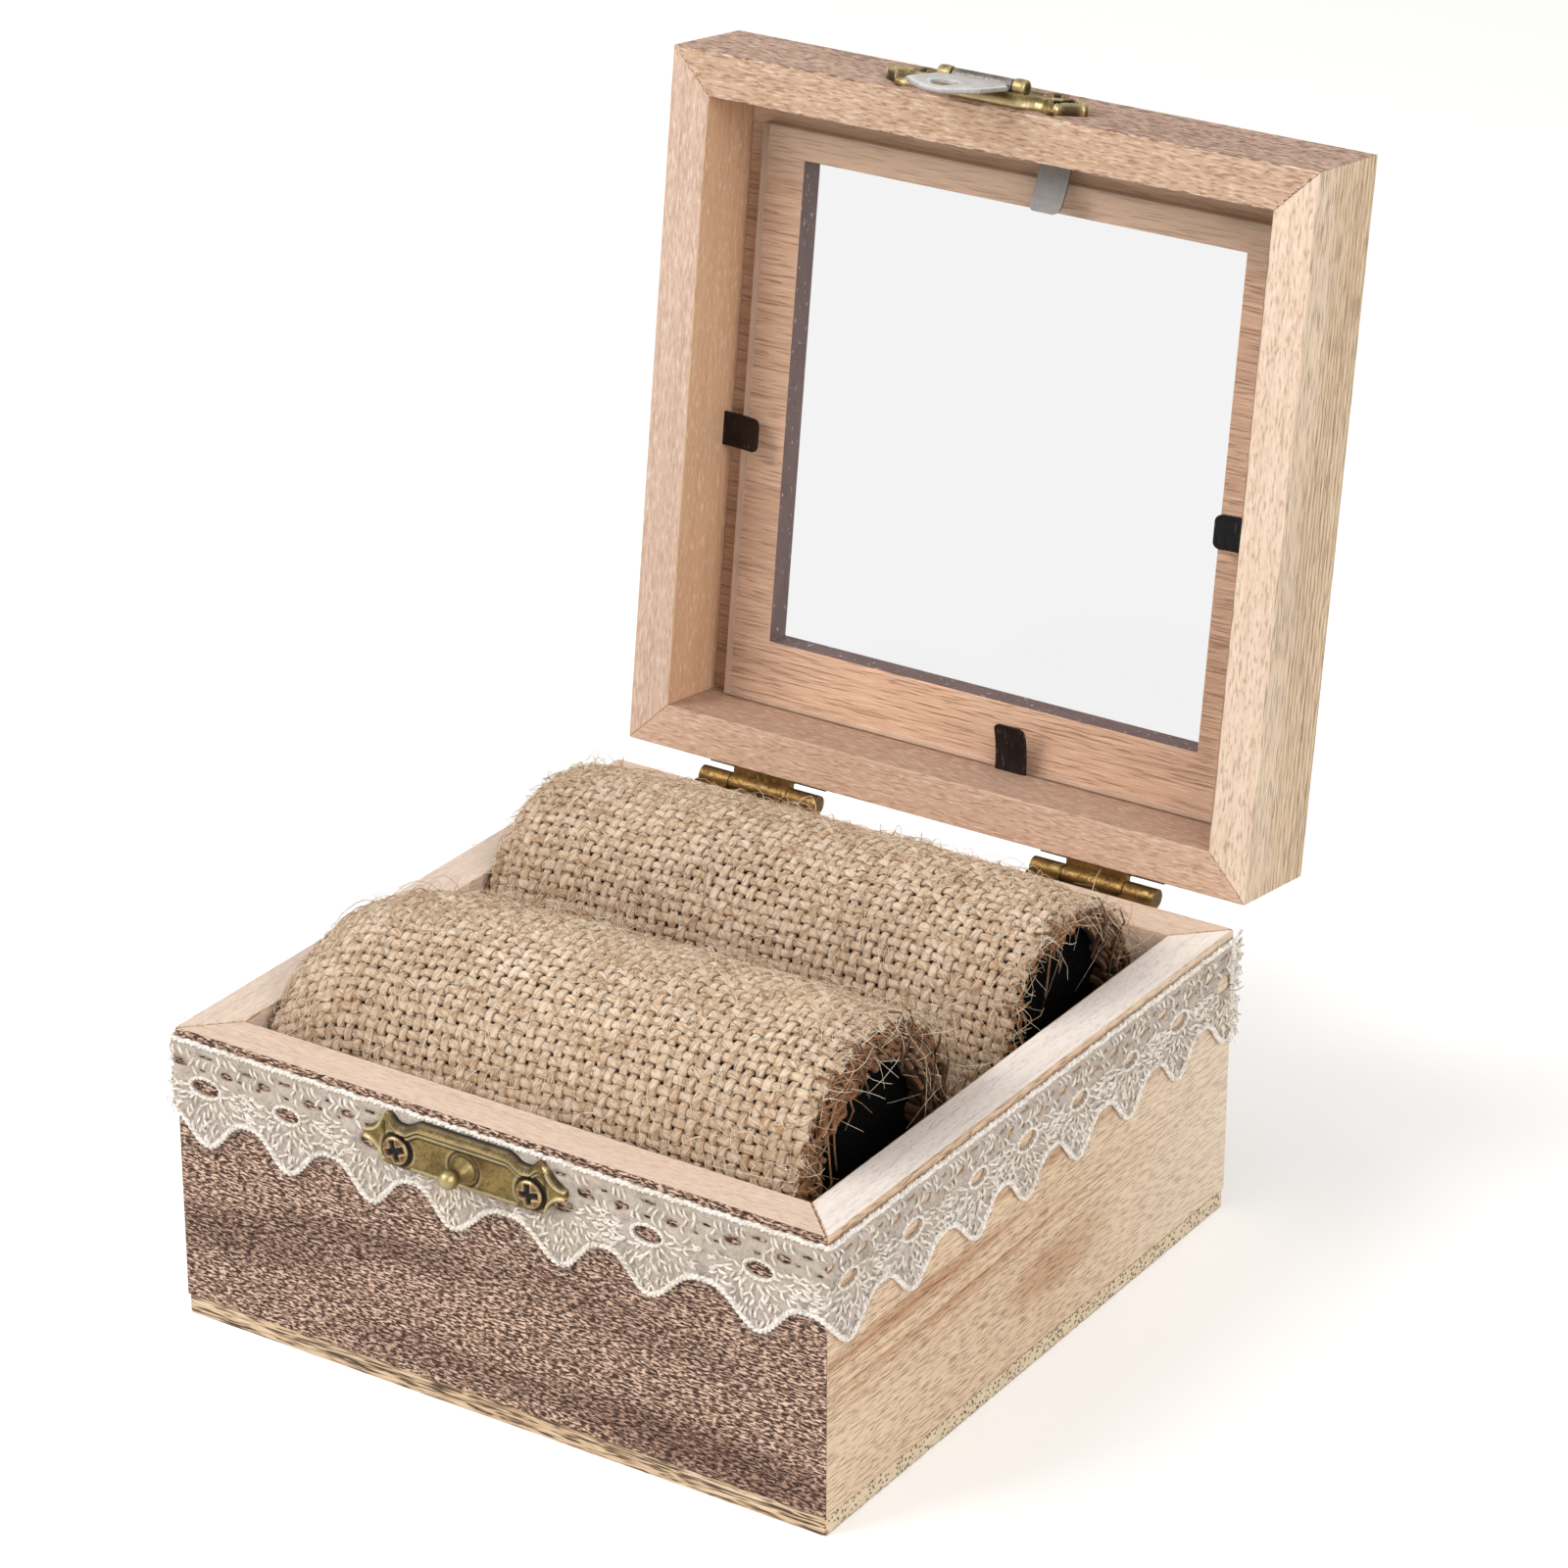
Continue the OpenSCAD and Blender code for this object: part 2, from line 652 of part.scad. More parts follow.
// The swinging flap: a rolled barrel and a rounded bill with a hole for the stud.
module hasp_flap() {
    neck = flap_barrel_r - 0.3;
    neck_w = flap_barrel_len/2 - 0.1;
    shoulder = flap_barrel_r*2;
    wing = flap_barrel_r*3.4;
    color("#b9b4a4")
        opened()
            difference() {
                union() {
                    hasp_axis_cylinder(flap_barrel_r, flap_barrel_len);
                    translate([latch_x, -box_d/2 - pin_lift, pin_z]) rotate([90 - flap_rest, 0, 0])
                        translate([0, 0, -flap_t/2]) linear_extrude(height = flap_t)
                            difference() {
                                intersection() {
                                    polygon([
                                        [-neck_w, -neck], [neck_w, -neck],
                                        [neck_w, -shoulder], [flap_w/2, -wing],
                                        [flap_w/2, -flap_len], [-flap_w/2, -flap_len],
                                        [-flap_w/2, -wing], [-neck_w, -shoulder]
                                    ]);
                                    translate([0, -flap_len + flap_tip_r]) union() {
                                        circle(r = flap_tip_r);
                                        translate([-flap_tip_r, 0])
                                            square([2*flap_tip_r, flap_len]);
                                    }
                                }
                                translate([0, -flap_reach]) circle(r = flap_hole_r);
                            }
                }
                hasp_axis_cylinder(hasp_pin_r + run_gap, flap_barrel_len + 1);
            }
}

// ---------------------------------------------------------------- hinges

function hinge_x(side) = side*hinge_spread/2;

// Places one of a leaf's two screws; up is -1 on the base and 1 on the lid.
module leaf_screw_places(side, up) {
    for (k = [-1, 1])
        on_back(hinge_x(side) + k*leaf_screw_pitch/2, base_h + up*leaf_screw_z, leaf_t) children();
}

module base_leaf_screws(side) {
    leaf_screw_places(side, -1) children();
}

module lid_leaf_screws(side) {
    leaf_screw_places(side, 1) children();
}

module hinge_axis_cylinder(side, r, len) {
    translate([hinge_x(side), axis_y, base_h])
        rotate([0, 90, 0]) cylinder(r = r, h = len, center = true);
}

// The leaf's flat plate past the knuckles, with its screw holes.
module leaf_plate(side, up) {
    z0 = up > 0 ? base_h + notch_h : base_h - leaf_h;
    difference() {
        translate([hinge_x(side) - hinge_len/2, box_d/2, z0])
            cube([hinge_len, leaf_t, leaf_h - notch_h]);
        leaf_screw_places(side, up) screw_hole(leaf_shank_r, 1);
    }
}

// One knuckle of the given length and the strip that joins it to its leaf.
module knuckle(side, up, dx, len) {
    x0 = hinge_x(side) + dx - len/2;
    z_leaf = up > 0 ? base_h : base_h - notch_h - hair;
    z_web = up > 0 ? base_h : base_h - web_h;
    translate([x0, box_d/2, z_leaf]) cube([len, leaf_t, notch_h + hair]);
    translate([x0, box_d/2, z_web]) cube([len, axis_back, web_h]);
    translate([x0 + len/2, axis_y, base_h])
        rotate([0, 90, 0]) cylinder(r = barrel_r, h = len, center = true);
}

module hinge_base_leaf(side) {
    len = knuckle_end - knuckle_gap/2;
    color(bronze)
        difference() {
            union() {
                leaf_plate(side, -1);
                for (k = [-1, 1])
                    knuckle(side, -1, k*(hinge_len - len)/2, len);
            }
            hinge_axis_cylinder(side, hinge_pin_r + seat_gap, hinge_len + 2);
        }
}

module hinge_lid_leaf(side) {
    color(bronze)
        opened()
            difference() {
                union() {
                    leaf_plate(side, 1);
                    knuckle(side, 1, 0, hinge_mid - knuckle_gap);
                }
                hinge_axis_cylinder(side, hinge_pin_r + run_gap, hinge_len + 2);
            }
}

module hinge_pin(side) {
    color("#9c8a5a") hinge_axis_cylinder(side, hinge_pin_r, hinge_len);
}

module hinge_base_screws(side) {
    color(bronze) base_leaf_screws(side) screw(leaf_head_r, leaf_head_h, leaf_shank_r);
}

module hinge_lid_screws(side) {
    color(bronze) opened() lid_leaf_screws(side) screw(leaf_head_r, leaf_head_h, leaf_shank_r);
}

// ---------------------------------------------------------------- lid

module lid_front_rail() {
    color(wood_pink)
        opened()
            difference() {
                front_board(rail_w, rail_h, base_h);
                for (side = [-1, 1])
                    on_front(latch_x + side*plate_screw_dx, base_h + screw_rise, hasp_field)
                        screw_hole(latch_shank_r);
                front_tab_place() tab_slot();
            }
}

module lid_rear_rail() {
    color(wood_pink)
        opened()
            difference() {
                rear_board(rail_w, rail_h, base_h);
                for (side = [-1, 1])
                    lid_leaf_screws(side) screw_hole(leaf_shank_r);
                rear_tab_place() tab_slot();
            }
}

module lid_left_rail() {
    color("#d0a878")
        opened()
            difference() {
                left_board(rail_w, rail_h, base_h);
                left_tab_place() tab_slot();
            }
}

module lid_right_rail() {
    color("#d0a878")
        opened()
            difference() {
                right_board(rail_w, rail_h, base_h);
                right_tab_place() tab_slot();
            }
}

module window_panel() {
    color("#b89477")
        opened()
            translate([0, 0, base_h + rail_h])
                linear_extrude(height = panel_t)
                    difference() {
                        square([box_w, box_d], center = true);
                        square([window_w, window_d], center = true);
                    }
}

module window_pane() {
    color([0.85, 0.9, 0.92, 0.3])
        opened()
            translate([pane_x - pane_w/2, pane_y - pane_d/2, pane_z])
                cube([pane_w, pane_d, pane_t]);
}

// ---------------------------------------------------------------- pane tabs

// A tab's own frame: X runs from the rail over the pane, Y along the rail, Z towards the pane.
module left_tab_place() {
    translate([-lid_inner_w/2, tab_left_place, tab_z]) children();
}

module right_tab_place() {
    translate([lid_inner_w/2, tab_right_place, tab_z]) rotate([0, 0, 180]) children();
}

module front_tab_place() {
    translate([tab_front_place, -lid_inner_d/2, tab_z]) rotate([0, 0, 90]) children();
}

module rear_tab_place() {
    translate([tab_rear_place, lid_inner_d/2, tab_z]) rotate([0, 0, -90]) children();
}

module tab_slot() {
    translate([-tab_bite, -tab_w/2, 0]) cube([tab_bite + 1, tab_w, tab_t]);
}

// A strip of spring steel that curls away from the pane towards its free end.
module pane_tab(reach, lift) {
    bends = 8;
    bend = [for (k = [0 : bends]) [reach*k/bends, -lift*pow(k/bends, 2)]];
    intersection() {
        rotate([90, 0, 0])
            linear_extrude(height = tab_w, center = true)
                polygon(concat(
                    [[-tab_bite, tab_t], [-tab_bite, 0]],
                    bend,
                    [for (k = [bends : -1 : 0]) bend[k] + [0, tab_t]]
                ));
        translate([0, 0, -lift - 1])
            linear_extrude(height = lift + tab_t + 2)
                union() {
                    translate([-tab_bite - 1, -tab_w/2])
                        square([tab_bite + 1 + reach - tab_corner_r, tab_w]);
                    translate([reach - tab_corner_r - hair, -tab_w/2 + tab_corner_r])
                        square([tab_corner_r + hair, tab_w - 2*tab_corner_r]);
                    for (k = [-1, 1])
                        translate([reach - tab_corner_r, k*(tab_w/2 - tab_corner_r)])
                            circle(r = tab_corner_r);
                }
    }
}

steel_dark = "#3a332e";

module pane_tab_left() {
    color(steel_dark) opened() left_tab_place() pane_tab(tab_left_reach, tab_left_lift);
}

module pane_tab_right() {
    color(steel_dark) opened() right_tab_place() pane_tab(tab_right_reach, tab_right_lift);
}

module pane_tab_front() {
    color("#a8a8a6") opened() front_tab_place() pane_tab(tab_front_reach, tab_front_lift);
}

module pane_tab_rear() {
    color(steel_dark) opened() rear_tab_place() pane_tab(tab_rear_reach, tab_rear_lift);
}

// ---------------------------------------------------------------- pieces

bottom_panel();
base_front_wall();
base_rear_wall();
base_left_wall();
base_right_wall();
lace_ribbon();
foam_roll(front_roll_y, front_roll_w, front_crest);  // front_foam_roll
foam_roll(rear_roll_y, rear_roll_w, rear_crest);  // rear_foam_roll
roll_cover(front_roll_y, front_roll_w, front_crest);  // front_roll_cover
roll_cover(rear_roll_y, rear_roll_w, rear_crest);  // rear_roll_cover
catch_plate();
catch_stud();
catch_screw(-1);  // catch_screw_left
catch_screw(1);  // catch_screw_right
hinge_base_leaf(-1);  // hinge_base_leaf_left
hinge_base_leaf(1);  // hinge_base_leaf_right
hinge_pin(-1);  // hinge_pin_left
hinge_pin(1);  // hinge_pin_right
hinge_base_screws(-1);  // hinge_base_screws_left
hinge_base_screws(1);  // hinge_base_screws_right
lid_front_rail();
lid_rear_rail();
lid_left_rail();
lid_right_rail();
window_panel();
window_pane();
pane_tab_left();
pane_tab_right();
pane_tab_front();
pane_tab_rear();
hinge_lid_leaf(-1);  // hinge_lid_leaf_left
hinge_lid_leaf(1);  // hinge_lid_leaf_right
hinge_lid_screws(-1);  // hinge_lid_screws_left
hinge_lid_screws(1);  // hinge_lid_screws_right
hasp_plate();
hasp_screw(-1);  // hasp_screw_left
hasp_screw(1);  // hasp_screw_right
hasp_pin();
hasp_flap();
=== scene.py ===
import json
import math

import bmesh
import bpy
import numpy as np
from mathutils import Matrix, Vector


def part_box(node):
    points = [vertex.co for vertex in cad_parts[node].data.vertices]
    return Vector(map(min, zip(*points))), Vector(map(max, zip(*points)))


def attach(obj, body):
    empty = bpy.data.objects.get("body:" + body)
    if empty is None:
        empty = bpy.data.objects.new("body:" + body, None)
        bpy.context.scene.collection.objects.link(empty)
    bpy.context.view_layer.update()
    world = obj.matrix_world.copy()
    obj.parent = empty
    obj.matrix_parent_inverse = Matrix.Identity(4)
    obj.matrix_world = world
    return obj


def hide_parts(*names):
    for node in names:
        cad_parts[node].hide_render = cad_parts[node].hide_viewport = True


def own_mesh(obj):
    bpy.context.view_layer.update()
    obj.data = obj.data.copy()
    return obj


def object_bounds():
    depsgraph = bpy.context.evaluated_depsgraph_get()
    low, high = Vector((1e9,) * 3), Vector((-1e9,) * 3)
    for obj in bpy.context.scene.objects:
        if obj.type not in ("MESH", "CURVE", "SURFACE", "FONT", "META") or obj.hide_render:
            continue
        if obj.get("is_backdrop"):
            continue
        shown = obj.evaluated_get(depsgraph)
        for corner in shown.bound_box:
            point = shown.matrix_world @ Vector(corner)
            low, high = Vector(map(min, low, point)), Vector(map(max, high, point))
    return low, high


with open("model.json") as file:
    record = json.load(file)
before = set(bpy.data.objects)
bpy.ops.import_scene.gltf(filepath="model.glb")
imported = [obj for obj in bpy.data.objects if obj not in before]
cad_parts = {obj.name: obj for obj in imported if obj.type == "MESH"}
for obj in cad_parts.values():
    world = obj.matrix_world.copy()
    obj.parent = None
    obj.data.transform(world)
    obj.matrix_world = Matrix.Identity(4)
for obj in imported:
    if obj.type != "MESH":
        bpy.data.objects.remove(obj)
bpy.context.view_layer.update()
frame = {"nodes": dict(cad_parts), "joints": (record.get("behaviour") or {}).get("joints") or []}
print("frame loaded:", len(frame["nodes"]), "nodes")

mm = 0.001
joints = {j["name"]: j for j in frame["joints"]}
lidAxis = Vector(joints["lid_hinge"]["pos_m"])
lidAngle = math.radians(joints["lid_hinge"]["range_deg"][1])
openLid = Matrix.Translation(lidAxis) @ Matrix.Rotation(-lidAngle, 4, "X") @ Matrix.Translation(-lidAxis)
shutLid = openLid.inverted()


# mesh helpers: points are in millimetres, and lid pieces are drawn with the lid shut

def makeMesh(name, points, faces, finishes, lid=False, smooth=True, picks=None, marks=None):
    turn = np.array(openLid if lid else Matrix.Identity(4))
    points = np.asarray(points, float) * mm @ turn[:3, :3].T + turn[:3, 3]
    mesh = bpy.data.meshes.new(name)
    mesh.from_pydata(points.tolist(), [], [list(f) for f in faces])
    for finish in finishes:
        mesh.materials.append(finish)
    if picks is not None:
        mesh.polygons.foreach_set("material_index", np.asarray(picks, np.int32))
    mesh.polygons.foreach_set("use_smooth", np.full(len(mesh.polygons), smooth))
    for mark, values in (marks or {}).items():
        values = np.asarray(values, np.float32)
        kind = "FLOAT" if values.ndim == 1 else "FLOAT_VECTOR"
        layer = mesh.attributes.new(mark, kind, "POINT")
        layer.data.foreach_set("value" if values.ndim == 1 else "vector", values.ravel())
    mesh.update()
    made = bpy.data.objects.new(name, mesh)
    bpy.context.scene.collection.objects.link(made)
    return made


def softEdges(made, radius=0.0, least=0.0):
    # turns the faces outward, and rounds the edges that fold by more than least
    shape = bmesh.new()
    shape.from_mesh(made.data)
    bmesh.ops.recalc_face_normals(shape, faces=shape.faces)
    if radius:
        sharp = [e for e in shape.edges if not least or e.calc_face_angle() > least]
        bmesh.ops.bevel(shape, geom=sharp, offset=radius * mm, segments=2, profile=0.6, affect="EDGES",
                        material=-1 if least else 0)
    shape.to_mesh(made.data)
    shape.free()
    return made


def seat(made, body, slot, *nodes):
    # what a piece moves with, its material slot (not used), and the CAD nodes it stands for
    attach(made, body)
    if nodes:
        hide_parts(*nodes)


def gridFaces(rows, columns, start=0, loop=False):
    r, c = np.meshgrid(np.arange(rows - 1), np.arange(columns if loop else columns - 1), indexing="ij")
    n = (c + 1) % columns
    return np.stack([start + r * columns + c, start + r * columns + n,
                     start + (r + 1) * columns + n, start + (r + 1) * columns + c], -1).reshape(-1, 4)


def strands(paths, ups, across, tall, sides):
    # round or oval strands: paths and ups are (strand, step, xyz), across and tall are half sizes
    paths, ups = np.asarray(paths, float), np.asarray(ups, float)
    count, steps = paths.shape[:2]
    ahead = np.gradient(paths, axis=1)
    ahead /= np.linalg.norm(ahead, axis=2, keepdims=True) + 1e-12
    side = np.cross(ahead, ups)
    side /= np.linalg.norm(side, axis=2, keepdims=True) + 1e-12
    lift = np.cross(side, ahead)
    turn = np.arange(sides) / sides * 2 * np.pi
    across = np.broadcast_to(across, (count, steps))[..., None, None]
    tall = np.broadcast_to(tall, (count, steps))[..., None, None]
    rings = (paths[:, :, None] + side[:, :, None] * across * np.cos(turn)[None, None, :, None]
             + lift[:, :, None] * tall * np.sin(turn)[None, None, :, None])
    per = steps * sides
    one = gridFaces(steps, sides, 0, True)
    faces = (one[None] + (np.arange(count) * per)[:, None, None]).reshape(-1, 4).tolist()
    for k in range(count):
        faces.append(list(range(k * per + sides - 1, k * per - 1, -1)))
        faces.append(list(range(k * per + per - sides, k * per + per)))
    run = np.cumsum(np.linalg.norm(np.diff(paths, axis=1, prepend=paths[:, :1]), axis=2), axis=1)
    along = np.repeat(run[:, :, None], sides, 2)
    around = np.broadcast_to(turn / (2 * np.pi), (count, steps, sides))
    which = np.broadcast_to(np.arange(count)[:, None, None] * 0.618 % 1, (count, steps, sides))
    return rings.reshape(-1, 3), faces, np.stack([along, around, which], -1).reshape(-1, 3)


def smoothNoise(rng, size, stretch):
    # a line of soft random values from about -1 to 1, with a bump every stretch steps
    knots = rng.uniform(-1, 1, int(size / stretch) + 3)
    at = np.arange(size) / stretch
    low = at.astype(int)
    share = at - low
    share = share * share * (3 - 2 * share)
    return knots[low] * (1 - share) + knots[low + 1] * share


class Wire:
    # a socket that takes part in sums
    def __init__(self, finish, socket):
        self.finish, self.socket = finish, socket

    def __add__(self, other):
        return self.finish.maths("ADD", self, other)

    def __radd__(self, other):
        return self.finish.maths("ADD", other, self)

    def __sub__(self, other):
        return self.finish.maths("SUBTRACT", self, other)

    def __rsub__(self, other):
        return self.finish.maths("SUBTRACT", other, self)

    def __mul__(self, other):
        return self.finish.maths("MULTIPLY", self, other)

    def __rmul__(self, other):
        return self.finish.maths("MULTIPLY", other, self)

    def __truediv__(self, other):
        return self.finish.maths("DIVIDE", self, other)

    def __pow__(self, other):
        return self.finish.maths("POWER", self, other)


class Finish:
    def __init__(self, name, owner=None):
        self.material = owner or bpy.data.materials.new(name)
        self.material.use_nodes = True
        self.tree = self.material.node_tree
        self.tree.nodes.clear()

    def node(self, kind, settings=None, inputs=None):
        made = self.tree.nodes.new("ShaderNode" + kind)
        for key, value in (settings or {}).items():
            if key == "stops":
                stops = made.color_ramp.elements
                while len(stops) < len(value):
                    stops.new(1)
                for stop, (place, colour) in zip(stops, value):
                    stop.position, stop.color = place, colour
            elif key == "interpolation":
                made.color_ramp.interpolation = value
            else:
                setattr(made, key, value)
        for key, value in (inputs or {}).items():
            if isinstance(value, Wire):
                self.tree.links.new(value.socket, made.inputs[key])
            else:
                made.inputs[key].default_value = colourOf(value) if isinstance(value, str) else value
        return made

    def wire(self, made, output=0):
        return Wire(self, made.outputs[output])

    def maths(self, operation, *values, clamp=False):
        return self.wire(self.node("Math", {"operation": operation, "use_clamp": clamp},
                                   dict(enumerate(values))))

    def vector(self, operation, *values):
        return self.wire(self.node("VectorMath", {"operation": operation}, dict(enumerate(values))))

    def mix(self, share, first, second, blend="MIX"):
        return self.wire(self.node("Mix", {"data_type": "RGBA", "blend_type": blend},
                                   {0: share, 6: first, 7: second}), 2)

    def grey(self, value, stops, kind="LINEAR"):
        return self.wire(self.node("ValToRGB", {"stops": [(p, (v, v, v, 1)) for p, v in stops],
                                                "interpolation": kind}, {0: value}))

    def place(self, lid=False):
        # where a point is in millimetres, with the lid shut for a lid piece
        where = self.wire(self.node("TexCoord"), "Object")
        if lid:
            where = self.wire(self.node("Mapping", {"vector_type": "POINT"},
                                        {0: where, 1: shutLid.to_translation(), 2: (lidAngle, 0, 0)}))
        return self.vector("MULTIPLY", where, (1 / mm,) * 3)

    def split(self, where):
        made = self.node("SeparateXYZ", None, {0: where})
        return [self.wire(made, k) for k in range(3)]

    def join(self, x, y, z):
        return self.wire(self.node("CombineXYZ", None, {0: x, 1: y, 2: z}))

    def noise(self, where, stretch=(1, 1, 1), detail=2.0, rough=0.5, distort=0.0):
        spot = self.vector("MULTIPLY", where, stretch)
        return self.wire(self.node("TexNoise", None, {"Vector": spot, "Scale": 1.0, "Detail": detail,
                                                      "Roughness": rough, "Distortion": distort}))

    def cells(self, where, stretch, feature="F1"):
        spot = self.vector("MULTIPLY", where, stretch)
        return self.wire(self.node("TexVoronoi", {"feature": feature}, {"Vector": spot, "Scale": 1.0}))

    def mark(self, name):
        # the three values of a point attribute
        return self.split(self.wire(self.node("Attribute", {"attribute_name": name}), "Vector"))

    def surface(self, colour, rough, height=None, depth=0.1, **fixed):
        links = {"Base Color": colour, "Roughness": rough}
        if height is not None:
            links["Normal"] = self.wire(self.node("Bump", None, {"Strength": 1.0, "Distance": depth * mm,
                                                                 "Height": height}))
        shader = self.node("BsdfPrincipled", None, {**links, **fixed})
        self.node("OutputMaterial", None, {"Surface": self.wire(shader)})
        return self.material


def colourOf(text):
    # a hex colour as linear light
    parts = [int(text[k:k + 2], 16) / 255 for k in (1, 3, 5)]
    return tuple(p / 12.92 if p <= 0.04045 else ((p + 0.055) / 1.055) ** 2.4 for p in parts) + (1.0,)


woodCommon = {"roughness": 0.62, "poreDepth": 0.12, "lid": False, "grain": "x", "ringSpacing": 3.2,
              "ringShow": 0.35, "ringHeart": (60, 25), "ringZone": None, "wander": 9.0, "streakShow": 0.5,
              "poreShow": 0.7, "poreStart": 0.6, "flecks": 0.35, "fleckStart": 0.6, "patches": 0.25,
              "bands": [], "streakSize": (0.5, 2.6), "poreSize": (0.55, 3.4), "wave": 0.4,
              "bandTint": "#8a6a62", "zoneTint": "#cf9f6c", "zoneShow": 0.45, "fade": None}


def woodFinish(name, **look):
    look = {**woodCommon, **look}
    f = Finish(name)
    spot = f.place(look["lid"])
    x, y, z = f.split(spot)
    along, across, deep = {"x": (x, z, y), "y": (y, z, x), "z": (z, x, y)}[look["grain"]]
    if look.get("flat"):
        across, deep = deep, across
    spot = f.join(along, across, deep)
    wobble = f.noise(spot, (0.011, 0.05, 0.05), 2) - 0.5
    heartA, heartB = look["ringHeart"]
    fromA, fromB = across - heartA, deep - heartB
    reach = f.maths("SQRT", fromA * fromA + fromB * fromB) + wobble * look["wander"]
    loose = f.noise(f.join(reach, 0.0, 0.0), (0.11, 1, 1), 1)
    ring = f.maths("FRACT", reach / look["ringSpacing"] + loose * 2.0)
    ring = f.grey(ring, [(0, 0.15), (0.55, 0.0), (0.86, 0.55), (0.95, 1), (1, 0.15)])
    ring = ring * f.grey(f.noise(spot, (0.02, 0.09, 0.09), 2), [(0.35, 0.2), (0.62, 1)])
    if look["ringZone"]:
        low, high = look["ringZone"]
        zone = f.grey((across + wobble * 8 - low) / (high - low), [(0, 0), (1, 1)])
        ring = ring * (0.1 + 0.9 * zone)
    sa, sb = look["streakSize"]
    streak = f.grey(f.noise(spot, (sa, sb, sb), 3, 0.62, 0.3), [(0.3, 0), (0.7, 1)])
    pa, pb = look["poreSize"]
    fine = f.noise(spot, (pa, pb, pb), 1.6, 0.5, look["wave"])
    start, pale = look["poreStart"], 1 - look["fleckStart"]
    pore = f.grey(fine, [(start - 0.05, 0), (start + 0.07, 1)])
    # pale flecks: small painted highlights on the grain
    fleck = f.grey(fine, [(pale - 0.08, 1), (pale + 0.05, 0)])
    patch = f.grey(f.noise(spot, (0.022, 0.07, 0.07), 3, 0.5), [(0.36, 0), (0.66, 1)])
    colour = f.mix(streak * look["streakShow"], look["light"], look["mid"])
    colour = f.mix(patch * look["patches"], colour, look["dark"])
    if look["ringZone"]:
        colour = f.mix(zone * look["zoneShow"], colour, look["zoneTint"])
    colour = f.mix(ring * look["ringShow"], colour, look["dark"])
    # painted highlight: the pale flecks
    colour = f.mix(fleck * look["flecks"], colour, look["pale"])
    colour = f.mix(pore * look["poreShow"], colour, look["pore"])
    for middleA, middleB, sizeA, sizeB, tilt, show in look["bands"]:
        a, b = along - middleA + wobble * 30, across - middleB + wobble * 6
        u = (a * math.cos(tilt) + b * math.sin(tilt)) / sizeA
        v = (b * math.cos(tilt) - a * math.sin(tilt)) / sizeB
        band = f.grey(u * u + v * v, [(0, 1), (0.35, 0.75), (1, 0)])
        colour = f.mix(band * show, colour, look["bandTint"], "MULTIPLY")
    # a ramp towards the pale colour, along or across the grain; on the window panel it is painted light
    if look["fade"]:
        way, low, high, share = look["fade"]
        far = along if way == "along" else across
        colour = f.mix(f.grey((far - low) / (high - low), [(0, 0), (1, share)]), colour, look["pale"])
    rough = look["roughness"] + 0.12 * streak
    height = streak * 0.35 - pore * 0.8 + fleck * 0.25
    return f.surface(colour, rough, height, look["poreDepth"], **{"Specular IOR Level": 0.35})


frontWood = woodFinish("front board wood", light="#a5806c", mid="#7a5644", dark="#4c3129", pale="#edcdb4",
                       pore="#22100b", flecks=0.9, fleckStart=0.55, poreShow=0.9, poreStart=0.54,
                       streakSize=(0.3, 1.3), streakShow=0.7, poreSize=(1.15, 3.7), wave=0.6, patches=0.3,
                       ringShow=0.12, ringHeart=(-30, 60), roughness=0.66,
                       bands=[(-38, 15, 20, 4.6, 0.1, 0.52), (30, 6.0, 30, 5.0, -0.03, 0.66),
                              (-14, 21, 24, 3.0, 0.06, 0.52), (-8, 6, 22, 3.6, 0.0, 0.42),
                              (24, 22, 26, 4.0, -0.1, 0.3), (-17.6, 18.2, 1.1, 0.9, 0.6, 1.0)])
sideWood = woodFinish("side board wood", grain="y", light="#eed3b6", mid="#dfbd99", dark="#9c6430",
                      pale="#fcecd6", pore="#70481f", poreShow=0.5, poreStart=0.6, poreSize=(0.42, 4.2),
                      streakSize=(0.06, 3.0), streakShow=0.55, ringShow=0.85, ringSpacing=0.85,
                      ringHeart=(-2, 22), ringZone=(14, 19.5), wander=2.4, patches=0.12, flecks=0.4,
                      bandTint="#c09468", fade=("along", 5, 48, 0.5), zoneTint="#dcb58a", zoneShow=0.15,
                      bands=[(3, 12.5, 15, 4.8, 0.05, 0.5), (-30, 24, 30, 1.5, 0.0, 0.6),
                             (10, 29, 40, 1.0, 0.0, 0.55), (-20, 19.5, 30, 0.8, 0.0, 0.5)])
rearWood = woodFinish("rear board wood", light="#e0c4a2", mid="#cba780", dark="#a0754c", pale="#f2dcc0",
                      pore="#6b4a2c", poreShow=0.45, poreStart=0.6, poreSize=(0.4, 4.0), ringHeart=(10, 50),
                      ringSpacing=2.4, ringShow=0.4)
floorWood = woodFinish("bottom board wood", light="#e9cfac", mid="#c8986a", dark="#8a5c34", pale="#fbeed8",
                       pore="#2e1c12", poreShow=0.9, poreStart=0.54, poreSize=(0.26, 3.4),
                       streakSize=(0.08, 2.2), ringHeart=(1, -30), ringSpacing=1.1, ringShow=0.5,
                       flecks=0.4)
railFrontWood = woodFinish("lid front rail wood", lid=True, light="#e6c3ab", mid="#c59980", dark="#8a5844",
                           pale="#fae4d2", pore="#552f24", poreShow=0.75, poreStart=0.565,
                           poreSize=(0.6, 3.6), wave=0.7, streakSize=(0.14, 1.8), ringHeart=(28, -50),
                           ringSpacing=1.9, ringShow=0.75, patches=0.4, flecks=0.65)
railRearWood = woodFinish("lid rear rail wood", lid=True, light="#dab9a0", mid="#c9a58b", dark="#a47c64",
                          pale="#f0d4bc", pore="#7c5844", poreShow=0.5, poreStart=0.6, poreSize=(0.5, 2.6),
                          streakSize=(0.15, 1.8), ringShow=0.2, flecks=0.3, patches=0.25)
